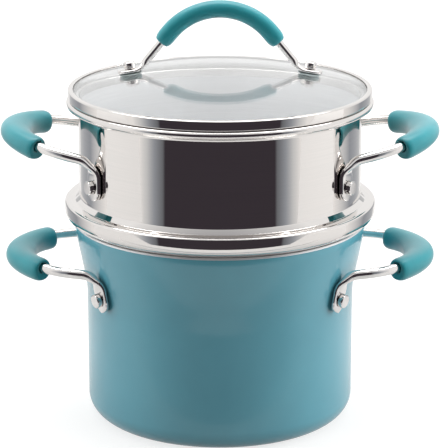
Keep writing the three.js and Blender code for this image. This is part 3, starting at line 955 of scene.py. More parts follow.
@dataclass
class SetPiece:
    """A piece of a set of one finish each, with its name and its CAD node after the set's stem."""

    name: str
    node: str
    skin: Skin
    material: bpy.types.Material
    slot: Slot


def place_set(stem: str, body: Body, pieces: Sequence[SetPiece]) -> None:
    """Makes the pieces of a set.

    Args:
        stem: the start of the names of its pieces and nodes.
        body: the body it rides on.
        pieces: its pieces.
    """
    for piece in pieces:
        nodes = [f"{stem}_{piece.node}"]
        place_piece(f"{stem}_{piece.name}", piece.skin, (piece.material,), body, nodes)


# Sub-assemblies


@dataclass
class Pot:
    """The enamelled pot, in millimetres."""

    height: float = 134.0
    radius: float = 88.8
    rim_radius: float = 96.4
    wall: float = 3.0
    floor: float = 4.0
    corner: float = 14.5
    flare_start: float = 90.0
    flare_bend: float = 70.0
    lip: float = 5.0
    lip_bend: float = 18.0
    rim_round: float = 1.2
    bare_margin: float = 0.01
    rivet_height: float = 93.0
    handle_reach: float = 38.9

    def outside(self) -> list[Corner]:
        """Lays out the outside.

        Returns:
            Its corners, from the middle of the underside to the rim.
        """
        return [
            Corner(0.0, 0.0),
            Corner(self.radius, 0.0, self.corner),
            Corner(self.radius, self.flare_start, self.flare_bend),
            Corner(self.rim_radius, self.height - self.lip, self.lip_bend),
            Corner(self.rim_radius, self.height, self.rim_round),
        ]

    def inside(self) -> list[Corner]:
        """Lays out the inside.

        Returns:
            Its corners, from the rim to the middle of the floor.
        """
        flare, lip = offset_left(self.outside(), self.wall)[2:4]
        return [
            Corner(self.rim_radius - self.wall, self.height, self.rim_round),
            lip,
            flare,
            Corner(self.radius - self.wall, self.floor, self.corner - self.wall),
            Corner(0.0, self.floor),
        ]

    def radius_at(self, height: float) -> float:
        """Finds the outside's radius at a height.

        Args:
            height: the height in millimetres.

        Returns:
            The radius.

        Raises:
            ValueError: the wall doesn't reach that height.
        """
        line = rounded(self.outside()[:-1] + [Corner(self.rim_radius, self.height)])
        for low, high in zip(line, line[1:]):
            if low.z <= height <= high.z and high.z > low.z:
                return mix(low.x, high.x, (height - low.z) / (high.z - low.z))
        raise ValueError(f"the pot has no wall at {height}")

    def build(self, wardrobe: Wardrobe) -> None:
        """Makes the shell, enamelled outside, bare on the rim and nonstick inside.

        Args:
            wardrobe: the finishes.
        """
        profile = rounded(self.outside() + self.inside())
        rim = max(range(len(profile)), key=lambda i: (profile[i].z, -profile[i].x))
        bare = self.height - self.rim_round - self.bare_margin
        outside = [Face.RIM if point.z > bare else Face.OUTSIDE for point in profile[:rim]]
        skin = revolve(profile, TURN_SEGMENTS, lambda j: outside[j] if j < rim else Face.INSIDE)
        materials = (wardrobe.enamel, wardrobe.nonstick, wardrobe.satin)
        place_piece("pot_shell", skin, materials, Body.POT, ["pot_body"])


@dataclass
class Steamer:
    """The drawn steel steamer that stands on the pot's rim, in millimetres."""

    pot: Pot
    seat_gap: float = 0.3
    sheet: float = 0.8
    radius: float = 93.1
    drop: float = 17.0
    skirt_clearance: float = 1.2
    skirt_taper: float = 12.0
    skirt_corner: float = 4.0
    ledge_inset: float = 0.9
    ledge_round: float = 0.7
    bead_radius: float = 102.8
    bead_lift: float = 4.3
    bead_height: float = 9.9
    bead_under_round: float = 6.6
    bead_top_round: float = 2.0
    bead_slope: float = 0.4
    cone_radius: float = 96.0
    cone_rise: float = 3.2
    cone_round: float = 1.0
    wall_height: float = 57.0
    roll_radius: float = 2.4
    roll_overhang: float = 7.7
    roll_lift: float = 4.4
    roll_start: float = -140.0
    roll_end: float = 110.0
    flare_round: float = 3.0
    rivet_lift: float = 16.0
    handle_reach: float = 40.9
    hole_radius: float = 3.5
    hole_pitch: float = 20.0
    hole_rings: int = 3
    holes_per_ring: int = 6
    floor_edge: float = 82.0

    def __post_init__(self) -> None:
        """Works out the heights and radii that follow from the sizes."""
        self.floor = self.pot.height - self.drop
        self.ledge = self.pot.height + self.seat_gap
        self.bead_low = self.ledge + self.bead_lift
        self.bead_top = self.bead_low + self.bead_height
        self.cone_foot = self.bead_top + self.bead_slope
        self.wall_foot = self.cone_foot + self.cone_rise
        self.wall_top = self.wall_foot + self.wall_height
        self.inner_radius = self.radius - self.sheet
        roll_from_axis = self.radius + self.roll_overhang - self.roll_radius
        self.roll_centre = Corner(roll_from_axis, self.wall_top + self.roll_lift)
        self.rim_top = self.roll_centre.z + self.roll_radius

    def outside(self) -> list[Corner]:
        """Lays out the outside.

        Returns:
            Its corners, from the edge of the perforated floor to the flare under the rim.
        """
        skirt_top = self.pot.rim_radius - self.pot.wall - self.skirt_clearance
        skirt_foot = skirt_top - (self.ledge - self.floor) * math.tan(math.radians(self.skirt_taper))
        ledge_edge = self.pot.rim_radius - self.ledge_inset
        return [
            Corner(self.floor_edge, self.floor),
            Corner(skirt_foot, self.floor, self.skirt_corner),
            Corner(skirt_top, self.ledge, self.ledge_round),
            Corner(ledge_edge, self.ledge, self.ledge_round),
            Corner(self.bead_radius, self.bead_low, self.bead_under_round),
            Corner(self.bead_radius, self.bead_top, self.bead_top_round),
            Corner(self.cone_radius, self.cone_foot, self.ledge_round),
            Corner(self.radius, self.wall_foot, self.cone_round),
            Corner(self.radius, self.wall_top, self.flare_round),
        ]

    def hole_places(self) -> list[tuple[float, float]]:
        """Lays out the floor's holes in rings.

        Returns:
            Their middles.
        """
        places = [(0.0, 0.0)]
        for ring in range(1, self.hole_rings + 1):
            count = ring * self.holes_per_ring
            radius = ring * self.hole_pitch
            for k in range(count):
                angle = 2.0 * math.pi * k / count
                places.append((radius * math.cos(angle), radius * math.sin(angle)))
        return places

    def build(self, wardrobe: Wardrobe) -> None:
        """Makes the shell and its perforated floor as one drawn piece.

        Args:
            wardrobe: the finishes.
        """
        outside = self.outside()
        inside = offset_left(outside, self.sheet)
        inside[-1] = Corner(self.inner_radius, self.roll_centre.z, self.flare_round)
        roll = arc(self.roll_centre, self.roll_radius, self.roll_start, self.roll_end)
        first, last = roll[0], roll[-1]
        profile = rounded(outside + [Corner(first.x, first.z)])
        profile += roll[1:-1]
        mouth = len(profile)
        profile += rounded([Corner(last.x, last.z)] + inside[::-1])
        shell = revolve(profile, TURN_SEGMENTS, lambda j: Face.INSIDE if j >= mouth else Face.OUTSIDE)
        top, holes = self.floor + self.sheet, self.hole_places()
        floor = perforated_disc(self.floor_edge, self.floor, top, holes, self.hole_radius, Face.INSIDE)
        skin = shell.joined(floor)
        materials = (wardrobe.sheet, wardrobe.satin)
        place_piece("steamer_shell", skin, materials, Body.STEAMER, ["steamer_body"])


@dataclass
class SideHandle:
    """A riveted rod handle with a soft grip: X outwards from the vessel's axis, Z up from the rivets."""

    prefix: str
    body: Body
    wall_radius: float
    wall_depth: float
    reach: float
    height: float
    lean: float = 0.0
    seat_gap: float = 0.3
    rod_radius: float = 3.2
    tab_width: float = 13.0
    tab_thickness: float = 3.8
    tab_below: float = 8.8
    tab_above: float = 7.0
    tab_morph: float = 14.0
    rivet_spread: float = 102.0
    arm_rise: float = 16.0
    arm_bend: float = 12.0
    bow_rise: float = 27.0
    bow_half: float = 41.0
    bow_bend: float = 48.0
    grip_length: float = 87.0
    grip_drop: float = 1.5
    grip_end_width: float = 14.8
    grip_end_height: float = 15.2
    grip_mid_width: float = 20.2
    grip_mid_height: float = 14.6
    grip_end_round: float = 4.2
    shank_radius: float = 2.5
    head_radius: float = 4.6
    head_height: float = 3.4
    head_round: float = 0.9
    inner_radius: float = 4.6
    inner_height: float = 1.4
    inner_gap: float = 0.8

    def __post_init__(self) -> None:
        """Lays out the rod's centre line."""
        tab_radius = self.wall_radius + self.seat_gap + self.tab_thickness / 2.0
        self.azimuth = math.asin(self.rivet_spread / 2.0 / tab_radius)
        self.outwards = Vector((math.cos(self.azimuth), -math.sin(self.azimuth), 0.0))
        self.along_wall = Vector((math.sin(self.azimuth), math.cos(self.azimuth), 0.0))
        tab = self.outwards * tab_radius
        far = self.wall_radius + self.reach
        front = [
            Corner(tab.x, -self.tab_below, 0.0, tab.y),
            Corner(tab.x, self.arm_rise, self.arm_bend, tab.y),
            Corner(far, self.bow_rise, self.bow_bend, -self.bow_half),
        ]
        self.line = BentLine(rounded(front + [c.mirrored_y() for c in reversed(front)]))
        self.plane_normal = Vector((self.arm_rise - self.bow_rise, 0.0, far - tab.x)).normalized()

    def side_at(self, distance: float) -> Vector:
        """Turns the rod's section: along the wall at the tabs, level across the arms and the bow.

        Args:
            distance: the distance along the rod.

        Returns:
            The section's side axis.
        """
        from_end = min(distance, self.line.length - distance)
        flat = self.along_wall.copy()
        if distance > self.line.length / 2.0:
            flat.y *= -1.0
        flat_end = self.tab_below + self.tab_above
        across = self.plane_normal.cross(self.line.direction_at(distance)).normalized()
        return flat.lerp(across, smooth_step(flat_end, flat_end + self.tab_morph, from_end))

    def placement(self, side: Side) -> Matrix:
        """Carries the handle's own frame to its side of the vessel, leaning with the wall.

        Args:
            side: the side it stands on.

        Returns:
            The matrix.
        """
        pivot = self.wall_radius * math.cos(self.azimuth)
        turn = Matrix.Rotation(math.pi if side is Side.LEFT else 0.0, 4, "Z")
        stand = Matrix.Translation((pivot, 0.0, self.height))
        lean = Matrix.Rotation(self.lean, 4, "Y")
        return turn @ stand @ lean @ Matrix.Translation((-pivot, 0.0, 0.0))

    def rod(self) -> Skin:
        """Makes the rod with its two flattened, round-ended tabs.

        Returns:
            Its skin.
        """
        rod = TabbedRod(
            line=self.line,
            radius=self.rod_radius,
            tab_width=self.tab_width,
            tab_thickness=self.tab_thickness,
            tab_length=self.tab_below + self.tab_above,
            morph=self.tab_morph,
            side_at=self.side_at,
        )
        return rod.skin()

    def grip(self) -> Skin:
        """Makes the soft grip, widest in the middle of its bow.

        Returns:
            Its skin.
        """
        sleeve = Sleeve(
            line=self.line,
            rod_radius=self.rod_radius,
            length=self.grip_length,
            end_round=self.grip_end_round,
            end_size=(self.grip_end_width, self.grip_end_height),
            mid_size=(self.grip_mid_width, self.grip_mid_height),
            side_at=self.side_at,
            shift=self.plane_normal * -self.grip_drop,
        )
        return sleeve.skin()

    def rivet(self) -> Skin:
        """Makes a rivet along Z, its origin on the outside of the wall.

        Returns:
            Its skin.
        """
        inner_top = -self.wall_depth - self.inner_gap
        head_low = self.tab_thickness + 2.0 * self.seat_gap
        head_top = head_low + self.head_height
        profile = rounded([
            Corner(0.0, inner_top - self.inner_height),
            Corner(self.inner_radius, inner_top - self.inner_height, self.head_round),
            Corner(self.inner_radius, inner_top),
            Corner(self.shank_radius, inner_top),
            Corner(self.shank_radius, head_low),
            Corner(self.head_radius, head_low, self.head_round * UNDER_ROUND),
            Corner(self.head_radius, head_top, self.head_round),
            Corner(0.0, head_top),
        ])
        return revolve(profile, PIN_SEGMENTS)

    def rivet_place(self, sign: int) -> Matrix:
        """Stands a rivet on the wall.

        Args:
            sign: -1 for the tab at the start of the rod and 1 for the one at its end.

        Returns:
            The matrix.
        """
        outwards = Vector((self.outwards.x, sign * abs(self.outwards.y), 0.0))
        turn = UP.rotation_difference(outwards).to_matrix().to_4x4()
        return Matrix.Translation(outwards * self.wall_radius) @ turn

    def build(self, wardrobe: Wardrobe) -> None:
        """Makes the left and the right handle.

        Args:
            wardrobe: the finishes.
        """
        rod, grip, rivet = self.rod(), self.grip(), self.rivet()
        for side in Side:
            place = self.placement(side)
            pieces = [
                SetPiece("bent_rod", "handle_rod", rod.moved(place), wardrobe.rod, Slot.STEEL),
                SetPiece("soft_grip", "handle_grip", grip.moved(place), wardrobe.silicone, Slot.SILICONE),
            ]
            for sign in (-1, 1):
                end = "front" if sign * side.value < 0 else "rear"
                skin = rivet.moved(place @ self.rivet_place(sign))
                node = f"{end}_rivet"
                pieces.append(SetPiece(f"{node}_head", node, skin, wardrobe.rod, Slot.STEEL))
            place_set(f"{self.prefix}_{side.label}", self.body, pieces)


@dataclass
class TabbedRod:
    """A round rod whose two ends are flattened into round-ended tabs."""

    line: BentLine
    radius: float
    tab_width: float
    tab_thickness: float
    tab_length: float
    morph: float
    side_at: Callable[[float], Vector]
    tab_squareness: float = 3.4
    end_start: float = 6.0
    end_steps: int = 9
    pitch: float = 1.6

    def skin(self) -> Skin:
        """Lofts the rod.

        Returns:
            Its skin.
        """
        half, length = self.tab_width / 2.0, self.line.length
        rings: list[Ring] = []
        for distance in spaced(length, half, self.end_start, self.end_steps, self.pitch):
            from_end = min(distance, length - distance)
            roundness = smooth_step(self.tab_length, self.tab_length + self.morph, from_end)
            inset = max(0.0, half - from_end)
            tab_half = math.sqrt(half * half - inset * inset)
            rings.append(Ring(
                self.line.point_at(distance),
                self.line.direction_at(distance),
                self.side_at(distance),
                mix(tab_half, self.radius, roundness),
                mix(self.tab_thickness / 2.0, self.radius, roundness),
                mix(self.tab_squareness, ROUND_SECTION, roundness),
            ))
        return loft(rings, ROD_SIDES)


@dataclass
class Sleeve:
    """A soft grip round the middle of a rod, with round ends dished round the rod."""

    line: BentLine
    rod_radius: float
    length: float
    end_round: float
    end_size: tuple[float, float]
    mid_size: tuple[float, float]
    side_at: Callable[[float], Vector]
    shift: Vector = field(default_factory=Vector)
    end_share: float = 0.8
    squareness: float = 2.2
    mouth_depth: float = 2.2
    mouth_gap: float = 0.5
    lip_depth: float = 0.2
    lip_share: float = 1.06
    end_start: float = 0.0
    end_steps: int = 8
    pitch: float = 2.2

    def ring(self, along: float, half_width: float, half_height: float, shift: Vector) -> Ring:
        """Lays out a section of the sleeve.

        Args:
            along: its distance from the sleeve's first end.
            half_width: half its width.
            half_height: half its height.
            shift: how far it is moved off the rod's line.

        Returns:
            The section.
        """
        distance = (self.line.length - self.length) / 2.0 + along
        side, direction = self.side_at(distance), self.line.direction_at(distance)
        centre = self.line.point_at(distance) + shift
        return Ring(centre, direction, side, half_width, half_height, self.squareness)

    def outer_rings(self) -> list[Ring]:
        """Lays out the outside.

        Returns:
            Its sections, from end to end.
        """
        rings: list[Ring] = []
        for along in spaced(self.length, self.end_round, self.end_start, self.end_steps, self.pitch):
            from_end = min(along, self.length - along)
            swell = smooth_step(0.0, self.length / 2.0, from_end)
            inset = max(0.0, 1.0 - from_end / self.end_round)
            closing = self.end_share + (1.0 - self.end_share) * math.sqrt(1.0 - inset * inset)
            width = mix(self.end_size[0], self.mid_size[0], swell) / 2.0 * closing
            height = mix(self.end_size[1], self.mid_size[1], swell) / 2.0 * closing
            rings.append(self.ring(along, width, height, self.shift))
        return rings

    def skin(self) -> Skin:
        """Lofts the sleeve, with a shallow mouth at each end.

        Returns:
            Its skin.
        """
        hole = self.rod_radius + self.mouth_gap
        mouth = [(self.mouth_depth, hole), (self.lip_depth, hole * self.lip_share)]
        first = [self.ring(depth, size, size, Vector()) for depth, size in mouth]
        last = [self.ring(self.length - depth, size, size, Vector()) for depth, size in reversed(mouth)]
        return loft(first + self.outer_rings() + last, GRIP_SIDES)


@dataclass
class Lid:
    """The domed glass lid, its crimped band and its arched handle, in millimetres."""

    steamer: Steamer
    seat_gap: float = 0.3
    bore_gap: float = 0.3
    sheet: float = 0.7
    band_radius: float = 99.6
    band_height: float = 6.6
    band_lip: float = 3.3
    band_round: float = 0.9
    edge_flat: float = 0.02
    spigot_clearance: float = 0.5
    spigot_drop: float = 5.0
    glass_thickness: float = 4.0
    dome_radius: float = 343.0
    glass_rings: int = 40
    rod_radius: float = 2.6
    tab_width: float = 11.0
    tab_thickness: float = 2.6
    tab_outer: float = 8.2
    tab_inner: float = 5.6
    tab_morph: float = 7.0
    tab_bend: float = 10.0
    bolt_from_axis: float = 58.2
    arch_top: float = 38.4
    arch_radius: float = 42.5
    leg_angle: float = 51.0
    grip_length: float = 92.0
    grip_width: float = 11.4
    grip_end_width: float = 11.9
    grip_end_round: float = 6.0
    grip_end_share: float = 0.66
    shank_radius: float = 2.0
    head_radius: float = 3.7
    head_height: float = 4.4
    head_round: float = 1.0
    bolt_tail: float = 1.0
    gasket_radius: float = 7.4
    gasket_thickness: float = 0.8
    gasket_round: float = 0.35
    washer_radius: float = 7.0
    washer_thickness: float = 1.5
    nut_radius: float = 4.6
    nut_height: float = 3.2
    nut_gap: float = 0.4
    nut_round: float = 0.3
    nut_sides: int = 6

    def __post_init__(self) -> None:
        """Works out what follows from the sizes, the fasteners' heights along their bolts."""
        self.band_low = self.steamer.rim_top + self.seat_gap
        self.glass_edge = self.band_radius - self.sheet - self.seat_gap
        self.inner_dome = self.dome_radius - self.glass_thickness
        glass_low = self.band_low + self.sheet + self.seat_gap
        self.crown = glass_low + self.fall(self.inner_dome, self.glass_edge) + self.glass_thickness
        self.bolt_tilt = math.asin(self.bolt_from_axis / self.dome_radius)
        self.tab_low = self.gasket_thickness + 2.0 * self.seat_gap
        self.washer_top = -self.glass_thickness - self.nut_gap
        self.nut_top = self.washer_top - self.washer_thickness - self.seat_gap

    @staticmethod
    def fall(radius: float, from_axis: float) -> float:
        """How far a dome falls below its top at a distance from its axis."""
        return radius - math.sqrt(radius * radius - from_axis * from_axis)

    def top_at(self, from_axis: float) -> float:
        """Height of the top of the glass at a distance from its axis."""
        return self.crown - self.fall(self.dome_radius, from_axis)

    def under_at(self, from_axis: float) -> float:
        """Height of the underside of the glass at a distance from its axis."""
        return self.crown - self.glass_thickness - self.fall(self.inner_dome, from_axis)

    def band(self) -> Skin:
        """Makes the crimped band with the spigot that drops into the steamer.

        Returns:
            Its skin.
        """
        low, top = self.band_low, self.band_low + self.band_height
        inside = self.band_radius - self.sheet
        lip = self.band_radius - self.band_lip
        spigot = self.steamer.inner_radius - self.spigot_clearance
        foot = low - self.spigot_drop
        edge = self.sheet / 2.0 - self.edge_flat
        return revolve(rounded([
            Corner(spigot - self.sheet / 2.0, foot),
            Corner(spigot, foot, edge),
            Corner(spigot, low, self.sheet),
            Corner(self.band_radius, low, self.band_round),
            Corner(self.band_radius, top, self.band_round),
            Corner(lip, top, edge),
            Corner(lip, top - self.sheet, edge),
            Corner(inside, top - self.sheet),
            Corner(inside, low + self.sheet),
            Corner(spigot - self.sheet, low + self.sheet, self.sheet),
            Corner(spigot - self.sheet, foot, edge),
            Corner(spigot - self.sheet / 2.0, foot),
        ]), TURN_SEGMENTS)

    def glass(self) -> Skin:
        """Makes the dome, of even thickness.

        Returns:
            Its skin.
        """
        radii = [self.glass_edge * k / self.glass_rings for k in range(self.glass_rings + 1)]
        profile = [Vector((r, 0.0, self.under_at(r))) for r in radii]
        profile += [Vector((r, 0.0, self.top_at(r))) for r in reversed(radii)]
        return revolve(profile, TURN_SEGMENTS)

    def arch(self) -> BentLine:
        """Lays out the handle in the XZ plane.

        Returns:
            Its centre line, from tab to tab.
        """
        tilt = self.bolt_tilt
        rise = self.tab_low + self.tab_thickness / 2.0
        middle_x = self.bolt_from_axis + rise * math.sin(tilt)
        middle_z = self.top_at(self.bolt_from_axis) + rise * math.cos(tilt)
        leg = math.radians(self.leg_angle)
        apex = self.crown + self.arch_top - self.arch_radius + self.arch_radius / math.cos(leg)
        foot_x = (apex - middle_z - math.tan(tilt) * middle_x) / (math.tan(leg) - math.tan(tilt))
        foot = Corner(foot_x, apex - math.tan(leg) * foot_x, self.tab_bend)
        end_x = middle_x + self.tab_outer * math.cos(tilt)
        end = Corner(end_x, middle_z - self.tab_outer * math.sin(tilt))
        top = Corner(0.0, apex, self.arch_radius)
        return BentLine(rounded([end.mirrored_x(), foot.mirrored_x(), top, foot, end]))

    def bolt(self) -> Skin:
        """Makes a bolt along Z, its origin on the top of the glass.

        Returns:
            Its skin.
        """
        tail = self.nut_top - self.nut_height - self.bolt_tail
        low = self.tab_low + self.tab_thickness + self.seat_gap
        top = low + self.head_height
        return revolve(rounded([
            Corner(0.0, tail),
            Corner(self.shank_radius, tail, self.head_round * UNDER_ROUND),
            Corner(self.shank_radius, low),
            Corner(self.head_radius, low, self.head_round * UNDER_ROUND),
            Corner(self.head_radius, top, self.head_round),
            Corner(0.0, top),
        ]), PIN_SEGMENTS)

    @staticmethod
    def ring(
        bore: float,
        radius: float,
        low: float,
        high: float,
        edge: float,
        segments: int = PIN_SEGMENTS,
    ) -> Skin:
        """Makes a ring along Z with rounded outer edges.

        Args:
            bore: the radius of its hole.
            radius: its outer radius.
            low: its underside.
            high: its top.
            edge: the round of its outer edges.
            segments: facets round it.

        Returns:
            Its skin.
        """
        return revolve(rounded([
            Corner(bore, low),
            Corner(radius, low, edge),
            Corner(radius, high, edge),
            Corner(bore, high),
            Corner(bore, low),
        ]), segments)

    def bolt_place(self, side: Side) -> Matrix:
        """Stands a bolt on the dome."""
        foot = Vector((side.value * self.bolt_from_axis, 0.0, self.top_at(self.bolt_from_axis)))
        return Matrix.Translation(foot) @ Matrix.Rotation(side.value * self.bolt_tilt, 4, "Y")

    def build_bolts(self, wardrobe: Wardrobe) -> None:
        """Makes each end's bolt, gasket, washer and nut.

        Args:
            wardrobe: the finishes.
        """
        hole, soft = self.shank_radius + self.bore_gap, self.gasket_round
        nut_bore = hole / math.cos(math.pi / self.nut_sides)
        nut_low = self.nut_top - self.nut_height
        washer_low = self.washer_top - self.washer_thickness
        gasket_top = self.seat_gap + self.gasket_thickness
        gasket = self.ring(hole, self.gasket_radius, self.seat_gap, gasket_top, soft)
        washer = self.ring(hole, self.washer_radius, washer_low, self.washer_top, soft)
        nut = self.ring(nut_bore, self.nut_radius, nut_low, self.nut_top, self.nut_round, self.nut_sides)
        bolt = self.bolt()
        for side in Side:
            place = self.bolt_place(side)
            place_set(f"lid_{side.label}", Body.LID, [
                SetPiece("bolt_head", "bolt", bolt.moved(place), wardrobe.rod, Slot.STEEL),
                SetPiece("soft_gasket", "gasket", gasket.moved(place), wardrobe.gasket, Slot.GASKET),
                SetPiece("soft_washer", "washer", washer.moved(place), wardrobe.gasket, Slot.GASKET),
                SetPiece("hex_nut", "nut", nut.moved(place), wardrobe.rod, Slot.STEEL),
            ])

    def build(self, wardrobe: Wardrobe) -> None:
        """Makes the glass, the band and the handle.

        Args:
            wardrobe: the finishes.
        """
        arch = self.arch()
        rod = TabbedRod(
            line=arch,
            radius=self.rod_radius,
            tab_width=self.tab_width,
            tab_thickness=self.tab_thickness,
            tab_length=self.tab_outer + self.tab_inner,
            morph=self.tab_morph,
            side_at=lambda _: ACROSS,
        )
        grip = Sleeve(
            line=arch,
            rod_radius=self.rod_radius,
            length=self.grip_length,
            end_round=self.grip_end_round,
            end_size=(self.grip_end_width, self.grip_end_width),
            mid_size=(self.grip_width, self.grip_width),
            side_at=lambda _: ACROSS,
            end_share=self.grip_end_share,
        )
        place_set("lid", Body.LID, [
            SetPiece("dome", "glass", self.glass(), wardrobe.glass, Slot.GLASS),
            SetPiece("crimped_band", "rim_band", self.band(), wardrobe.sheet, Slot.STEEL),
            SetPiece("arched_rod", "handle_rod", rod.skin(), wardrobe.rod, Slot.STEEL),
            SetPiece("soft_grip", "handle_grip", grip.skin(), wardrobe.silicone, Slot.SILICONE),
        ])
        self.build_bolts(wardrobe)


# Studio


@dataclass(frozen=True)
class Lamp:
    """A softbox that faces the object, in metres and watts."""

    name: str
    place: Place
    size: tuple[float, float]
    power: float
    mirrored: bool

    def build(self, target: Vector) -> None:
        """Makes the lamp and aims it.

        Args:
            target: the point it faces.
        """
        light = bpy.data.lights.new(self.name, "AREA")
        light.shape = "RECTANGLE"
        light.size, light.size_y = self.size
        light.energy = self.power
        lamp = bpy.data.objects.new(self.name, light)
        lamp.location = self.place
        lamp.visible_camera = False
        lamp.visible_glossy = self.mirrored
        lamp.rotation_euler = (target - Vector(self.place)).to_track_quat("-Z", "Y").to_euler()
        bpy.context.scene.collection.objects.link(lamp)


LAMPS = (
    Lamp("left_softbox", place=(-1.75, 0.05, 0.6), size=(1.6, 1.6), power=25.0, mirrored=False),
    Lamp("right_softbox", place=(1.75, 0.05, 0.6), size=(1.6, 1.6), power=38.0, mirrored=False),
    Lamp("overhead_softbox", place=(0.0, 0.4, 1.95), size=(2.6, 1.3), power=50.0, mirrored=True),
)


@dataclass
class Studio:
    """Pale floor, soft light, white surroundings and the photograph's camera, in metres."""

    target: Vector
    camera_distance: float = 1.5
    camera_pitch: float = 16.0
    focal_pixels: float = 2250.0
    image_height: int = 448
    sensor: float = 36.0
    floor_half: float = 8.0
    world_light: float = 0.34
    floor_glow: float = 1.0
    mirror_glow: float = 0.56
    glow_reach: float = 2.5
    near_end: float = 0.3
    far_start: float = 0.8
    # Painted shade: the floor glows dimmer near the object
    near_glow: Colour = srgb(224, 224, 224)
    floor_colour: Colour = srgb(152, 151, 150)
    floor_roughness: float = 0.9
    floor_specular: float = 0.1
    walls_end: float = 0.72
    ceiling_start: float = 0.95
    wall_colour: Colour = srgb(255, 255, 255)
    ceiling_colour: Colour = srgb(178, 178, 180)
    # Painted reflections: glowing dark and grey sheets that only reflections meet, standing in for the dim
    # room before and beside the object
    card_distance: float = 0.34
    card_half_width: float = 1.0
    card_height: float = 0.42
    card_foot: float = 0.002
    low_painted_reflection_card_distance: float = 0.13
    low_painted_reflection_card_half_width: float = 0.32
    low_painted_reflection_card_middle: float = 0.14
    low_painted_reflection_card_height: float = 0.064
    flag_distance: float = 0.3
    flag_start: float = 0.0
    flag_middle: float = 0.14
    flag_end: float = 0.5
    flag_height: float = 0.2
    painted_reflection_card_stops: Stops = (
        (0.285, srgb(60, 54, 60)),
        (0.305, srgb(112, 114, 119)),
        (0.395, srgb(156, 160, 167)),
        (0.51, srgb(212, 213, 214)),
        (0.7, srgb(252, 250, 248)),
    )

    def build(self) -> None:
        """Makes everything round the object."""
        self.camera()
        self.world()
        self.floor()
        self.painted_reflections()
        for lamp in LAMPS:
            lamp.build(self.target)
        bpy.context.scene.view_settings.view_transform = "Standard"

    def camera(self) -> None:
        """Stands the camera at the photograph's angle."""
        pitch = math.radians(self.camera_pitch)
        away = Vector((0.0, -math.cos(pitch), math.sin(pitch))) * self.camera_distance
        lens = bpy.data.cameras.new("photo_camera")
        lens.sensor_width = self.sensor
        lens.lens = self.focal_pixels * self.sensor / self.image_height
        camera = bpy.data.objects.new("photo_camera", lens)
        camera.location = self.target + away
        camera.rotation_euler = (-away).to_track_quat("-Z", "Y").to_euler()
        bpy.context.scene.collection.objects.link(camera)
        bpy.context.scene.camera = camera

    @staticmethod
    def seen(graph: Graph, plain: float, mirrored: float, unseen: float) -> bpy.types.NodeSocket:
        """A strength that depends on who looks.

        Args:
            graph: the node tree it goes into.
            plain: what the camera sees.
            mirrored: what a reflection or a look through glass sees.
            unseen: what lights the object.

        Returns:
            The strength's socket.
        """
        path = graph.node("ShaderNodeLightPath")
        rays = (path.outputs["Is Glossy Ray"], path.outputs["Is Transmission Ray"])
        mirror = graph.maths("MAXIMUM", *rays)
        reflected = graph.maths("MULTIPLY_ADD", mirror, mirrored - unseen, unseen)
        return graph.maths("MULTIPLY_ADD", path.outputs["Is Camera Ray"], plain - unseen, reflected)

    def world(self) -> None:
        """Makes white surroundings under a greyer ceiling, that light the object less than they show."""
        world = bpy.data.worlds.new("white_studio")
        world.use_nodes = True
        graph = Graph(world.node_tree)
        output = graph.node("ShaderNodeOutputWorld")
        background = graph.node("ShaderNodeBackground")
        stops = ((self.walls_end, self.wall_colour), (self.ceiling_start, self.ceiling_colour))
        graph.link(graph.ramp(graph.axes("Generated")["Z"], stops), background.inputs["Color"])
        strength = self.seen(graph, plain=1.0, mirrored=1.0, unseen=self.world_light)
        graph.link(strength, background.inputs["Strength"])
        graph.link(background.outputs["Background"], output.inputs["Surface"])
        bpy.context.scene.world = world

    def floor(self) -> None:
        """Makes a pale floor that shows white and keeps the object's shadow, its glow dimmer near the
        object as a painted shade round it.
        """
        finish = Finish("pale_floor")
        graph = finish.graph
        finish.set(Base_Color=self.floor_colour, Roughness=self.floor_roughness)
        finish.set(Specular_IOR_Level=self.floor_specular)
        glow = graph.node("ShaderNodeEmission")
        reach = graph.node("ShaderNodeVectorMath", {"operation": "LENGTH"})
        graph.link(graph.place(), reach.inputs[0])
        share = graph.maths("DIVIDE", reach.outputs["Value"], self.glow_reach)
        # Painted shade: the glow is dimmer near the object than far off, darkening the floor round it for
        # the camera and in reflections
        stops = ((self.near_end, self.near_glow), (self.far_start, self.wall_colour))
        graph.link(graph.ramp(share, stops), glow.inputs["Color"])
        strength = self.seen(graph, plain=self.floor_glow, mirrored=self.mirror_glow, unseen=0.0)
        graph.link(strength, glow.inputs["Strength"])
        total = graph.node("ShaderNodeAddShader")
        graph.link(finish.shader.outputs["BSDF"], total.inputs[0])
        graph.link(glow.outputs["Emission"], total.inputs[1])
        graph.link(total.outputs["Shader"], finish.output.inputs["Surface"])
        half = self.floor_half
        plan = ((-half, -half), (half, -half), (half, half), (-half, half))
        self.sheet("studio_floor", [(x, y, 0.0) for x, y in plan], finish.material)

    def painted_reflections(self) -> None:
        """Makes painted reflections for steel and enamel to mirror: two dark sheets before the object and a
        grey one on each side.
        """
        # Painted reflection: dark in the middle before the object, grey on each side
        grey, pale, white = (colour for _, colour in self.painted_reflection_card_stops[-3:])
        half, y = self.card_half_width, -self.card_distance
        painted_reflection_card = self.upright((-half, y), (half, y), self.card_height)
        self.reflected_sheet("front_painted_reflection_card", painted_reflection_card, self.painted_reflection_card_stops, Axis.X)
        half, y = self.low_painted_reflection_card_half_width, -self.low_painted_reflection_card_distance
        painted_reflection_card = self.upright((-half, y), (half, y), self.low_painted_reflection_card_height)
        stops = ((0.0, grey), (self.low_painted_reflection_card_middle, pale), (half, white))
        self.reflected_sheet("low_painted_reflection_card", painted_reflection_card, stops, Axis.X)
        near, far = self.flag_start, self.flag_end
        stops = ((near, white), (self.flag_middle, grey), (far, pale))
        for side in Side:
            x = side.value * self.flag_distance
            painted_reflection_flag = self.upright((x, near), (x, far), self.flag_height)
            self.reflected_sheet(f"{side.label}_flag", painted_reflection_flag, stops, Axis.Y)

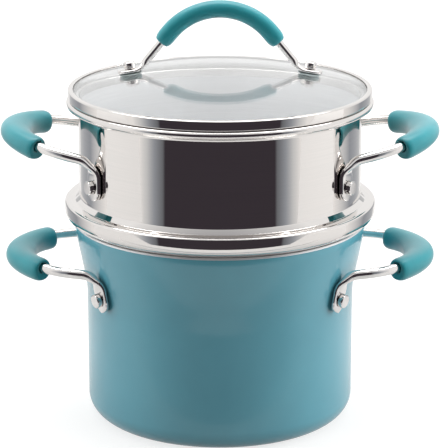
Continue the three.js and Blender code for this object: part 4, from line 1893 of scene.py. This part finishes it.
    def upright(self, first: tuple[float, float], last: tuple[float, float], top: float) -> list[Place]:
        """Corners of a sheet that stands between two points of the floor plan."""
        low = self.card_foot
        return [(*first, low), (*last, low), (*last, top), (*first, top)]

    def reflected_sheet(
        self,
        name: str,
        corners: Sequence[Place],
        stops: Stops,
        axis: Axis,
    ) -> None:
        """Makes a painted reflection: a glowing sheet that only reflections meet.

        Args:
            name: its name.
            corners: its four corners in metres.
            stops: its colours by the distance from the middle, in metres.
            axis: the axis that distance runs along.
        """
        finish = Finish(name)
        graph = finish.graph
        shade = graph.ramp(graph.maths("ABSOLUTE", graph.axes()[axis.value]), stops)
        glow = graph.node("ShaderNodeEmission", Strength=1.0)
        graph.link(shade, glow.inputs["Color"])
        graph.link(glow.outputs["Emission"], finish.output.inputs["Surface"])
        sheet = self.sheet(name, corners, finish.material)
        sheet.visible_camera = False
        sheet.visible_diffuse = False
        sheet.visible_transmission = False
        sheet.visible_shadow = False

    @staticmethod
    def sheet(name: str, corners: Sequence[Place], material: bpy.types.Material) -> bpy.types.Object:
        """Makes a flat stage sheet.

        Args:
            name: its name.
            corners: its four corners in metres.
            material: its material.

        Returns:
            The sheet.
        """
        mesh = bpy.data.meshes.new(name)
        mesh.from_pydata(corners, [], [tuple(range(len(corners)))])
        mesh.materials.append(material)
        sheet = bpy.data.objects.new(name, mesh)
        bpy.context.scene.collection.objects.link(sheet)
        return sheet


def pot_handle(pot: Pot, contact: float = 12.0) -> SideHandle:
    """Lays the pot's handles on the chord of its flare.

    Args:
        pot: the pot.
        contact: how far above the rivets the tabs lie along the wall, in millimetres.

    Returns:
        The handle.
    """
    below = SideHandle.tab_below
    low, high = pot.rivet_height - below, pot.rivet_height + contact
    slope = (pot.radius_at(high) - pot.radius_at(low)) / (high - low)
    tab_radius = pot.radius_at(low) + slope * below
    depth = tab_radius - pot.radius_at(pot.rivet_height) + pot.wall
    handle = SideHandle("pot", Body.POT, tab_radius, depth, pot.handle_reach, pot.rivet_height)
    handle.lean = math.asin(math.sin(math.atan(slope)) / math.cos(handle.azimuth))
    return handle


def main() -> None:
    """Builds the pot, the steamer, the lid and the studio, in that order."""
    logging.basicConfig(level=logging.INFO, format="%(name)s: %(message)s")
    wardrobe = Wardrobe()
    pot = Pot()
    steamer = Steamer(pot)
    pot.build(wardrobe)
    pot_handle(pot).build(wardrobe)
    steamer.build(wardrobe)
    rivet_height = steamer.wall_foot + steamer.rivet_lift
    steamer_handle = SideHandle(
        prefix="steamer",
        body=Body.STEAMER,
        wall_radius=steamer.radius,
        wall_depth=steamer.sheet,
        reach=steamer.handle_reach,
        height=rivet_height,
    )
    steamer_handle.build(wardrobe)
    Lid(steamer).build(wardrobe)
    Studio(CAMERA_TARGET).build()


if __name__ == "__main__":
    main()
